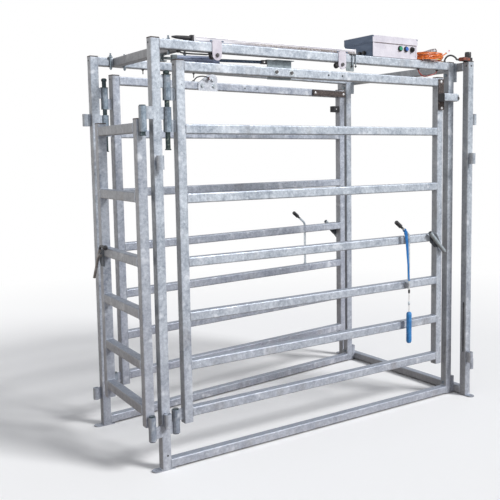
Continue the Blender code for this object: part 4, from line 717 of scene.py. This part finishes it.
class Tree:
    """A short way to write the nodes of a material or a world."""

    def __init__(self, owner):
        owner.use_nodes = True
        self.owner = owner
        self.tree = owner.node_tree
        self.shader = self.tree.nodes.get("Principled BSDF") or self.tree.nodes.get("Background")
        self.output = self.tree.nodes.get("Material Output") or self.tree.nodes.get("World Output")

    def fill(self, socket, value):
        """Links a socket to a node's output, or gives it a value or a colour."""
        if isinstance(value, bpy.types.NodeSocket):
            self.tree.links.new(value, socket)
        elif isinstance(value, tuple) and len(value) == 3 and socket.type == "RGBA":
            socket.default_value = (*value, 1)
        else:
            socket.default_value = value

    def add(self, kind, *values, named=None, **settings):
        """A node with its first inputs filled in order, and others by name."""
        made = self.tree.nodes.new("ShaderNode" + kind)
        for key, value in settings.items():
            setattr(made, key, value)
        for key, value in {**dict(enumerate(values)), **(named or {})}.items():
            self.fill(made.inputs[key], value)
        return made

    def place(self, scale=(1, 1, 1), turn=(0, 0, 0)):
        source = self.add("TexCoord").outputs["Object"]
        return self.add("Mapping", named={"Vector": source, "Scale": scale, "Rotation": turn}).outputs[0]

    def noise(self, where, scale, detail=3, rough=0.55):
        named = {"Vector": where, "Scale": scale, "Detail": detail, "Roughness": rough}
        return self.add("TexNoise", named=named).outputs["Fac"]

    def cells(self, where, scale):
        """Three random values for each cell of a pattern."""
        made = self.add("TexVoronoi", named={"Vector": where, "Scale": scale})
        return self.add("SeparateColor", made.outputs["Color"]).outputs

    def axes(self, vector):
        return self.add("SeparateXYZ", vector).outputs

    def ramp(self, value, *stops):
        """Stops are (position, colour or grey)."""
        made = self.add("ValToRGB", value)
        for element, (position, colour) in zip(made.color_ramp.elements, stops):
            element.position = position
            element.color = (*colour, 1) if isinstance(colour, tuple) else (colour, colour, colour, 1)
        return made.outputs["Color"]

    def step(self, value, low, high):
        return self.ramp(value, (low, 0), (high, 1))

    def blend(self, share, first, second):
        return self.add("Mix", data_type="RGBA", named={0: share, 6: first, 7: second}).outputs[2]

    def math(self, operation, *values):
        return self.add("Math", *values, operation=operation).outputs[0]

    def times(self, first, second):
        return self.math("MULTIPLY", first, second)

    def plus(self, base, value, share):
        """The base with a share of a value added."""
        return self.math("ADD", base, self.times(value, share))

    def spread(self, value, low, high, start=0, end=1):
        """Maps start to low and end to high."""
        return self.add("MapRange", value, start, end, low, high).outputs[0]

    def bump(self, height, strength, distance):
        named = {"Strength": strength, "Distance": distance, "Height": height}
        return self.add("Bump", named=named).outputs[0]

    def mix(self, share, first, second):
        return self.add("MixShader", share, first, second).outputs[0]

    def seen_rays(self):
        """The camera ray's mark, and one for every ray that sees a surface straight, mirrored or through glass."""
        rays = self.add("LightPath").outputs
        straight = self.math("MAXIMUM", rays["Is Camera Ray"], rays["Is Glossy Ray"])
        return rays["Is Camera Ray"], self.math("MAXIMUM", straight, rays["Is Transmission Ray"])

    def set(self, colour, rough, metal=0, normal=None):
        values = {"Base Color": colour, "Roughness": rough, "Metallic": metal}
        if normal:
            values["Normal"] = normal
        for key, value in values.items():
            self.fill(self.shader.inputs[key], value)
        return self.owner


def galvanised(name, cap_above, light, dark, seed):
    """Hot-dip zinc: spangle cells, cloudy patches, runs down the tubes, stains, darker towards the bottom, painted
    shade by the way a face points, and a cap above a height.
    """
    t = Tree(bpy.data.materials.new(name))
    where = t.place((1, 1, 1), (0.3 + seed, 0.7, 0.2))
    plain = t.place()
    grain = t.cells(where, 95)
    coarse = t.cells(where, 42)
    cloud = t.noise(where, 8, 5, 0.62)
    runs = t.noise(t.place((1, 1, 0.16), (0, 0, seed)), 26, 4, 0.6)
    place = t.axes(plain)
    shade = t.plus(t.times(grain[0], 0.22), coarse[1], 0.2)
    for value, low, high, share in ((t.noise(where, 70, 6, 0.72), 0.4, 0.6, 0.34),
                                    (cloud, 0.38, 0.62, 0.3), (runs, 0.46, 0.62, -0.16)):
        shade = t.plus(shade, t.step(value, low, high), share)
    colour = t.blend(t.math("MINIMUM", t.math("MAXIMUM", shade, 0), 1), dark, light)
    # Darker towards the bottom
    colour = t.blend(t.spread(place[2], 0.36, 0, 0.05, 1.3), colour, (0.38, 0.375, 0.45))
    bright = t.step(t.noise(where, 13, 2), 0.6, 0.72)
    colour = t.blend(t.times(bright, 0.5), colour, (0.84, 0.87, 0.92))
    stain = t.step(t.noise(t.place((1, 1, 0.4), (0, 0, 1.1 + seed)), 7, 4), 0.58, 0.74)
    colour = t.blend(t.times(stain, 0.38), colour, (0.25, 0.225, 0.21))

    # Painted shade by the way a face points: brown shade below, darker tops, brown-grey shade on the exit side and
    # slate shade on the entry side
    facing = t.axes(t.add("NewGeometry").outputs["True Normal"])
    for axis, low, high, start, end, tone in (
            (2, 0.7, 0, -0.9, -0.2, (0.17, 0.15, 0.135)), (2, 0, 0.85, 0.2, 0.8, (0.23, 0.26, 0.32)),
            (0, 0.5, 0, -0.95, -0.45, (0.27, 0.25, 0.23)), (0, 0, 0.55, 0.45, 0.95, (0.15, 0.19, 0.225))):
        colour = t.blend(t.spread(facing[axis], low, high, start, end), colour, tone)
    height = t.plus(t.times(t.noise(where, 160, 2), 0.5), grain[2], 0.25)
    height = t.plus(height, cloud, 0.8)
    t.set(colour, t.spread(grain[1], 0.36, 0.58), 0.3, t.bump(height, 0.3, 0.0012))

    cap_colour = t.ramp(t.noise(plain, 40), (0.3, (0.012, 0.012, 0.014)), (0.8, (0.05, 0.042, 0.042)))
    cap = t.add("BsdfPrincipled", named={"Base Color": cap_colour, "Roughness": 0.55})
    above = t.math("GREATER_THAN", place[2], cap_above)
    t.fill(t.output.inputs[0], t.mix(above, t.shader.outputs[0], cap.outputs[0]))
    return t.owner


def mottled(name, low, high, scale, rough, metal=0, extra=None, bump=(0.2, 0.0005), stretch=(1, 1, 1)):
    """A surface whose colour and roughness wander between two values."""
    t = Tree(bpy.data.materials.new(name))
    where = t.place(stretch, (0.2, 0.1, 0.3))
    wide = t.noise(where, scale, 5, 0.62)
    fine = t.noise(where, scale * 9, 3)
    share = t.plus(t.times(wide, 0.7), fine, 0.3)
    colour = t.ramp(share, (0.34, low), (0.66, high))
    if extra:
        tone, start, most = extra
        mask = t.step(t.noise(where, scale * 2.3, 4), start, start + 0.1)
        colour = t.blend(t.times(mask, most), colour, tone)
    return t.set(colour, t.spread(fine, *rough, 0.3, 0.7), metal, t.bump(share, *bump))


# Name, darker and lighter colour, scale, roughness, metal, then a third colour with where it starts and its share,
# the bump's strength and depth, and the stretch
MATERIALS = {
    "zinc": ("zinc_plate", (0.1, 0.125, 0.15), (0.34, 0.4, 0.45), 38, (0.25, 0.5), 0.65,
        ((0.3, 0.29, 0.2), 0.58, 0.4)),
    "bright": ("bright_zinc", (0.48, 0.54, 0.58), (0.78, 0.83, 0.88), 45, (0.2, 0.42), 0.7),
    "dark_plate": ("dark_plate", (0.045, 0.05, 0.06), (0.15, 0.165, 0.19), 30, (0.4, 0.65), 0.3,
        ((0.4, 0.42, 0.45), 0.62, 0.5)),
    "weld": ("weld_bead", (0.34, 0.37, 0.42), (0.66, 0.7, 0.76), 120, (0.35, 0.6), 0.45, None, (0.6, 0.001)),
    "enamel": ("white_enamel", (0.62, 0.6, 0.68), (0.82, 0.8, 0.87), 14, (0.28, 0.45), 0,
        ((0.5, 0.47, 0.5), 0.62, 0.45), (0.12, 0.0004)),
    "rubber": ("black_rubber", (0.01, 0.01, 0.012), (0.04, 0.04, 0.046), 26, (0.55, 0.85), 0,
        ((0.13, 0.13, 0.14), 0.63, 0.6), (0.35, 0.0006)),
    "plastic": ("black_plastic", (0.014, 0.014, 0.016), (0.035, 0.035, 0.04), 60, (0.3, 0.5)),
    "orange": ("orange_hose", (0.52, 0.075, 0.004), (0.98, 0.25, 0.015), 40, (0.16, 0.34), 0,
        ((1, 0.42, 0.06), 0.6, 0.6), (0.1, 0.0003)),
    "red": ("red_hose", (0.16, 0.02, 0.02), (0.45, 0.07, 0.05), 30, (0.3, 0.5), 0,
        ((0.06, 0.04, 0.05), 0.52, 0.7)),
    "hose": ("black_hose", (0.012, 0.012, 0.014), (0.05, 0.05, 0.055), 30, (0.3, 0.5)),
    "green": ("green_button", (0.02, 0.22, 0.11), (0.06, 0.46, 0.26), 80, (0.15, 0.3)),
    "blue": ("blue_button", (0.03, 0.1, 0.42), (0.07, 0.22, 0.66), 80, (0.15, 0.3)),
    "strap": ("blue_webbing", (0.002, 0.072, 0.27), (0.01, 0.22, 0.6), 120, (0.6, 0.8), 0, None, (0.5, 0.0006)),
    "pull": ("blue_grip", (0.008, 0.1, 0.32), (0.05, 0.27, 0.6), 40, (0.45, 0.65), 0,
        ((0.32, 0.42, 0.62), 0.6, 0.4), (0.3, 0.0006)),
    "pale": ("pale_cord", (0.4, 0.38, 0.36), (0.75, 0.73, 0.7), 160, (0.6, 0.8), 0, None, (0.6, 0.0006)),
    "white": ("white_nylon", (0.7, 0.7, 0.72), (0.9, 0.9, 0.9), 60, (0.35, 0.5)),
    "brass": ("brass_fitting", (0.36, 0.26, 0.1), (0.62, 0.48, 0.24), 90, (0.2, 0.4), 0.8),
    "red_ring": ("red_ring", (0.26, 0.03, 0.02), (0.52, 0.08, 0.05), 90, (0.25, 0.45)),
    "dark_bolt": ("dark_bolt", (0.035, 0.032, 0.034), (0.15, 0.145, 0.15), 80, (0.3, 0.55), 0.5,
        ((0.38, 0.38, 0.4), 0.6, 0.6)),
    "plate_zinc": ("dull_zinc", (0.16, 0.19, 0.2), (0.34, 0.38, 0.4), 50, (0.4, 0.6), 0.35),
    "seal": ("brown_seal", (0.06, 0.035, 0.035), (0.17, 0.11, 0.11), 60, (0.5, 0.7)),
    "slate": ("slate_grey_panel", (0.085, 0.12, 0.19), (0.15, 0.2, 0.29), 12, (0.4, 0.6), 0,
        ((0.24, 0.27, 0.33), 0.6, 0.4), (0.15, 0.0004), (1, 1, 5)),
    "rust": ("rust_red_cover", (0.11, 0.022, 0.014), (0.42, 0.11, 0.06), 24, (0.4, 0.6), 0,
        ((0.05, 0.03, 0.03), 0.5, 0.75), (0.3, 0.0005)),
    "pink": ("pink_tip", (0.52, 0.1, 0.16), (0.78, 0.32, 0.38), 90, (0.3, 0.5)),
    "yellow": ("yellow_tie", (0.6, 0.42, 0.04), (0.85, 0.66, 0.12), 90, (0.35, 0.55)),
    "valve_grey": ("valve_grey", (0.11, 0.085, 0.085), (0.3, 0.27, 0.28), 60, (0.35, 0.6), 0.2,
        ((0.45, 0.42, 0.46), 0.6, 0.5), (0.3, 0.0005)),
    "cap": ("cap_rim", (0.03, 0.018, 0.014), (0.085, 0.05, 0.04), 60, (0.5, 0.7)),
    "buffer": ("speckled_rubber", (0.014, 0.01, 0.01), (0.045, 0.033, 0.03), 80, (0.5, 0.8), 0,
        ((0.34, 0.26, 0.23), 0.545, 0.8), (0.5, 0.0008)),
    "pips": ("rubber_pips", (0.06, 0.045, 0.042), (0.17, 0.13, 0.125), 150, (0.5, 0.7)),
    "pin": ("hinge_pin", (0.016, 0.026, 0.03), (0.07, 0.1, 0.112), 36, (0.28, 0.5), 0.55,
        ((0.36, 0.44, 0.46), 0.6, 0.6)),
    "pin_green": ("passivated_pin", (0.016, 0.027, 0.028), (0.075, 0.105, 0.108), 40, (0.25, 0.45), 0.6,
        ((0.36, 0.4, 0.34), 0.58, 0.6)),
    "saddle": ("saddle_enamel", (0.55, 0.52, 0.6), (0.76, 0.73, 0.8), 24, (0.28, 0.45), 0,
        ((0.4, 0.35, 0.38), 0.63, 0.45), (0.12, 0.0004)),
    "rod": ("steel_rod", (0.045, 0.065, 0.1), (0.14, 0.18, 0.24), 30, (0.15, 0.35), 0.7, None, (0.1, 0.0002),
        (0.1, 1, 1)),
    "barrel": ("blue_grey_barrel", (0.16, 0.19, 0.3), (0.42, 0.48, 0.62), 26, (0.22, 0.4), 0.5,
        ((0.6, 0.64, 0.72), 0.58, 0.5), (0.1, 0.0002), (0.1, 1, 1)),
    "hole": ("hole_shadow", (0.004, 0.004, 0.005), (0.02, 0.02, 0.024), 90, (0.8, 0.9)),
}


def extruded_tube():
    """The aluminium tube: white on top, with long grooves and a worn brown band low on its sides."""
    t = Tree(bpy.data.materials.new("extruded_tube"))
    plain = t.place()
    place = t.axes(plain)
    along = t.noise(t.place((0.12, 1, 1)), 60, 4)
    base = t.ramp(along, (0.35, (0.56, 0.55, 0.6)), (0.65, (0.8, 0.79, 0.83)))
    rise = t.math("SUBTRACT", place[2], ON_RAIL)
    band = t.times(t.math("GREATER_THAN", rise, 0.0035), t.math("LESS_THAN", rise, 0.016))
    reach = t.spread(place[0], 0, 1, 0.36, 0.72)
    speck = t.step(t.noise(plain, 130, 5, 0.7), 0.4, 0.58)
    worn = t.times(t.times(band, reach), t.math("ADD", t.times(speck, 0.6), 0.35))
    colour = t.blend(worn, base, (0.15, 0.11, 0.085))
    groove = t.math("LESS_THAN", t.math("ABSOLUTE", t.math("SUBTRACT", rise, 0.0205)), 0.0007)
    colour = t.blend(t.times(groove, 0.7), colour, (0.22, 0.2, 0.22))
    height = t.plus(t.times(along, 0.3), groove, -1)
    return t.set(colour, t.spread(along, 0.24, 0.42, 0.3, 0.7), 0.25, t.bump(height, 0.4, 0.0006))


def dress(name, base, *others):
    """Gives a CAD node its material, and others to the faces whose centre and normal pass a test."""
    data = nodes[name].data
    data.materials.clear()
    for material in (base, *(material for material, test in others)):
        data.materials.append(material)
    for face in data.polygons:
        face.material_index = 0
        for index, (material, test) in enumerate(others, 1):
            if test(face.center, face.normal):
                face.material_index = index


def on_hinge_tube(c, n):
    """True within a hinge tube's radius of a pin's axis."""
    return c.z < 2.1 and any(hypot(c.x - pin.x, c.y - pin.y) < HINGE_TUBE_REACH for pin in PINS)


# The first part of a name that fits gives a node its look
PLAIN_LOOKS = (("gate1_upper_pin", "pin_green"), ("_pin", "pin"), ("frame_bolt", "zinc"), ("rail_clamp", "zinc"),
               ("_bolt_", "dark_bolt"), ("latch_plate", "dark_plate"), ("saddle_plate", "saddle"),
               ("tube_boot", "rubber"), ("bumper", "rubber"), ("post_sensor", "rubber"), ("buffer", "buffer"),
               ("hose_valve", "valve_grey"), ("selector_knob", "plastic"), ("green_button", "green"),
               ("blue_button", "blue"))


def dress_nodes():
    # The hinge tubes get a darker copy of the zinc as painted shade
    tube = galvanised("zinc_hinge_tubes_painted_shade", NO_CAP, (0.4, 0.485, 0.57), (0.085, 0.12, 0.165), 7.7)
    painted_hinge_shade = ((tube, on_hinge_tube),)
    for name, others, *settings in (
            ("front_side_frame", painted_hinge_shade, "zinc_front_frame", POST_CAP, LIGHT, DARK, 0.1),
            ("rear_side_frame", painted_hinge_shade, "zinc_rear_frame", POST_CAP, (0.6, 0.655, 0.72), (0.2, 0.235, 0.295), 0.9),
            ("end_frame", (), "zinc_end_frame", POST_CAP, (0.6, 0.655, 0.71), (0.2, 0.235, 0.29), 1.7),
            ("exit_top_rail", (), "zinc_exit_rail", NO_CAP, (0.46, 0.49, 0.54), (0.18, 0.2, 0.24), 2.3),
            ("gate1_frame", painted_hinge_shade, "zinc_gate1", GATE_CAP, LIGHT, DARK, 2.9),
            ("gate2_frame", painted_hinge_shade, "zinc_gate2", GATE_CAP, (0.58, 0.62, 0.69), (0.22, 0.25, 0.32), 3.6),
            ("gate3_frame", painted_hinge_shade, "zinc_gate3", GATE3_CAP, (0.56, 0.6, 0.66), (0.22, 0.25, 0.31), 4.2),
            ("gate2_bracket", (), "zinc_plates", NO_CAP, (0.74, 0.77, 0.82), (0.4, 0.43, 0.5), 5.1)):
        dress(name, galvanised(*settings), *others)
    dull = galvanised("zinc_dull_plates", NO_CAP, (0.46, 0.53, 0.56), (0.22, 0.27, 0.3), 6.3)
    for name in ("gate1_cylinder_bracket", "gate1_latch_handle", "gate2_latch_handle", "cylinder_hanger"):
        dress(name, dull)
    plastic, slate = looks["plastic"], looks["slate"]
    # The -X faces of the box and its lid take the dark slate as painted shade
    dress("control_box", looks["enamel"], (slate, lambda c, n: n.x < -0.9 and c.x < 1.409),
          (plastic, lambda c, n: c.y < -0.0242 or c.x < 1.4078 or c.x > 1.7702))
    dress("control_box_lid", looks["enamel"], (slate, lambda c, n: n.x < -0.9 and c.x < 1.407))
    bar = galvanised("zinc_latch_bar", NO_CAP, (0.48, 0.455, 0.43), (0.21, 0.19, 0.17), 8.8)
    dress("gate3_latch_handle", bar, (plastic, lambda c, n: c.z > 1.106 and c.y > 0))
    dress("cylinder_barrel", looks["barrel"], (looks["plate_zinc"], lambda c, n: c.x < 0.2))
    dress("cylinder_rod", looks["rod"], (looks["dark_bolt"], lambda c, n: c.x > 0.648))
    dress("rail_tube", extruded_tube())
    for name in ("gate1_lever", "gate2_lever"):
        dress(name, looks["bright"], (plastic, lambda c, n: c.z > 1.152))
    for name in nodes:
        for part, look in PLAIN_LOOKS:
            if part in name:
                dress(name, looks[look])
                break


def add_studio():
    """A pale sky that looks white to the camera, two suns, and a floor that fades into the sky."""
    world = bpy.data.worlds.new("studio")
    bpy.context.scene.world = world
    t = Tree(world)
    t.fill(t.shader.inputs["Color"], (0.93, 0.95, 1))
    t.fill(t.shader.inputs["Strength"], 0.33)
    seen = t.add("Background", (1, 1, 1))
    t.fill(t.output.inputs[0], t.mix(t.seen_rays()[1], t.shader.outputs[0], seen.outputs[0]))
    for name, energy, angle, way in (("key_light", 3.1, 0.3, (-0.42, 0.72, -0.62)),
            ("fill_light", 0.75, 1.2, (0.9, 0.25, -0.22))):
        sun = new_object(name, bpy.data.lights.new(name, "SUN"))
        sun.data.energy = energy
        sun.data.angle = angle
        sun.rotation_euler = Vector(way).to_track_quat("-Z", "Y").to_euler()

    bpy.ops.mesh.primitive_plane_add(size=60, location=(1, 0.5, -0.0006))
    floor = bpy.context.object
    floor.name = "studio_floor"
    t = Tree(bpy.data.materials.new("studio_floor"))
    t.set((0.9, 0.9, 0.905), 0.9)
    distance = t.add("VectorMath", t.add("TexCoord").outputs["Object"], operation="LENGTH")
    far = t.spread(distance.outputs["Value"], 0, 1, 2.6, 6)
    camera_ray, seen = t.seen_rays()
    bounce = t.add("BsdfDiffuse", (0.42, 0.385, 0.36))
    ground = t.mix(camera_ray, bounce.outputs[0], t.shader.outputs[0])
    glow = t.add("Emission").outputs[0]
    t.fill(t.output.inputs[0], t.mix(t.times(far, seen), ground, glow))
    floor.data.materials.append(t.owner)


bpy.context.scene.view_settings.view_transform = "Standard"
add_camera()
looks.update((key, mottled(*settings)) for key, settings in MATERIALS.items())
add_cords()
dress_nodes()
add_gate_welds()
add_frame_welds()
add_holes()
add_buffers()
add_bolts()
add_rail_gear()
add_box_details()
add_sensor_details()
add_hank_details()
add_tube_details()
add_caps()
add_studio()
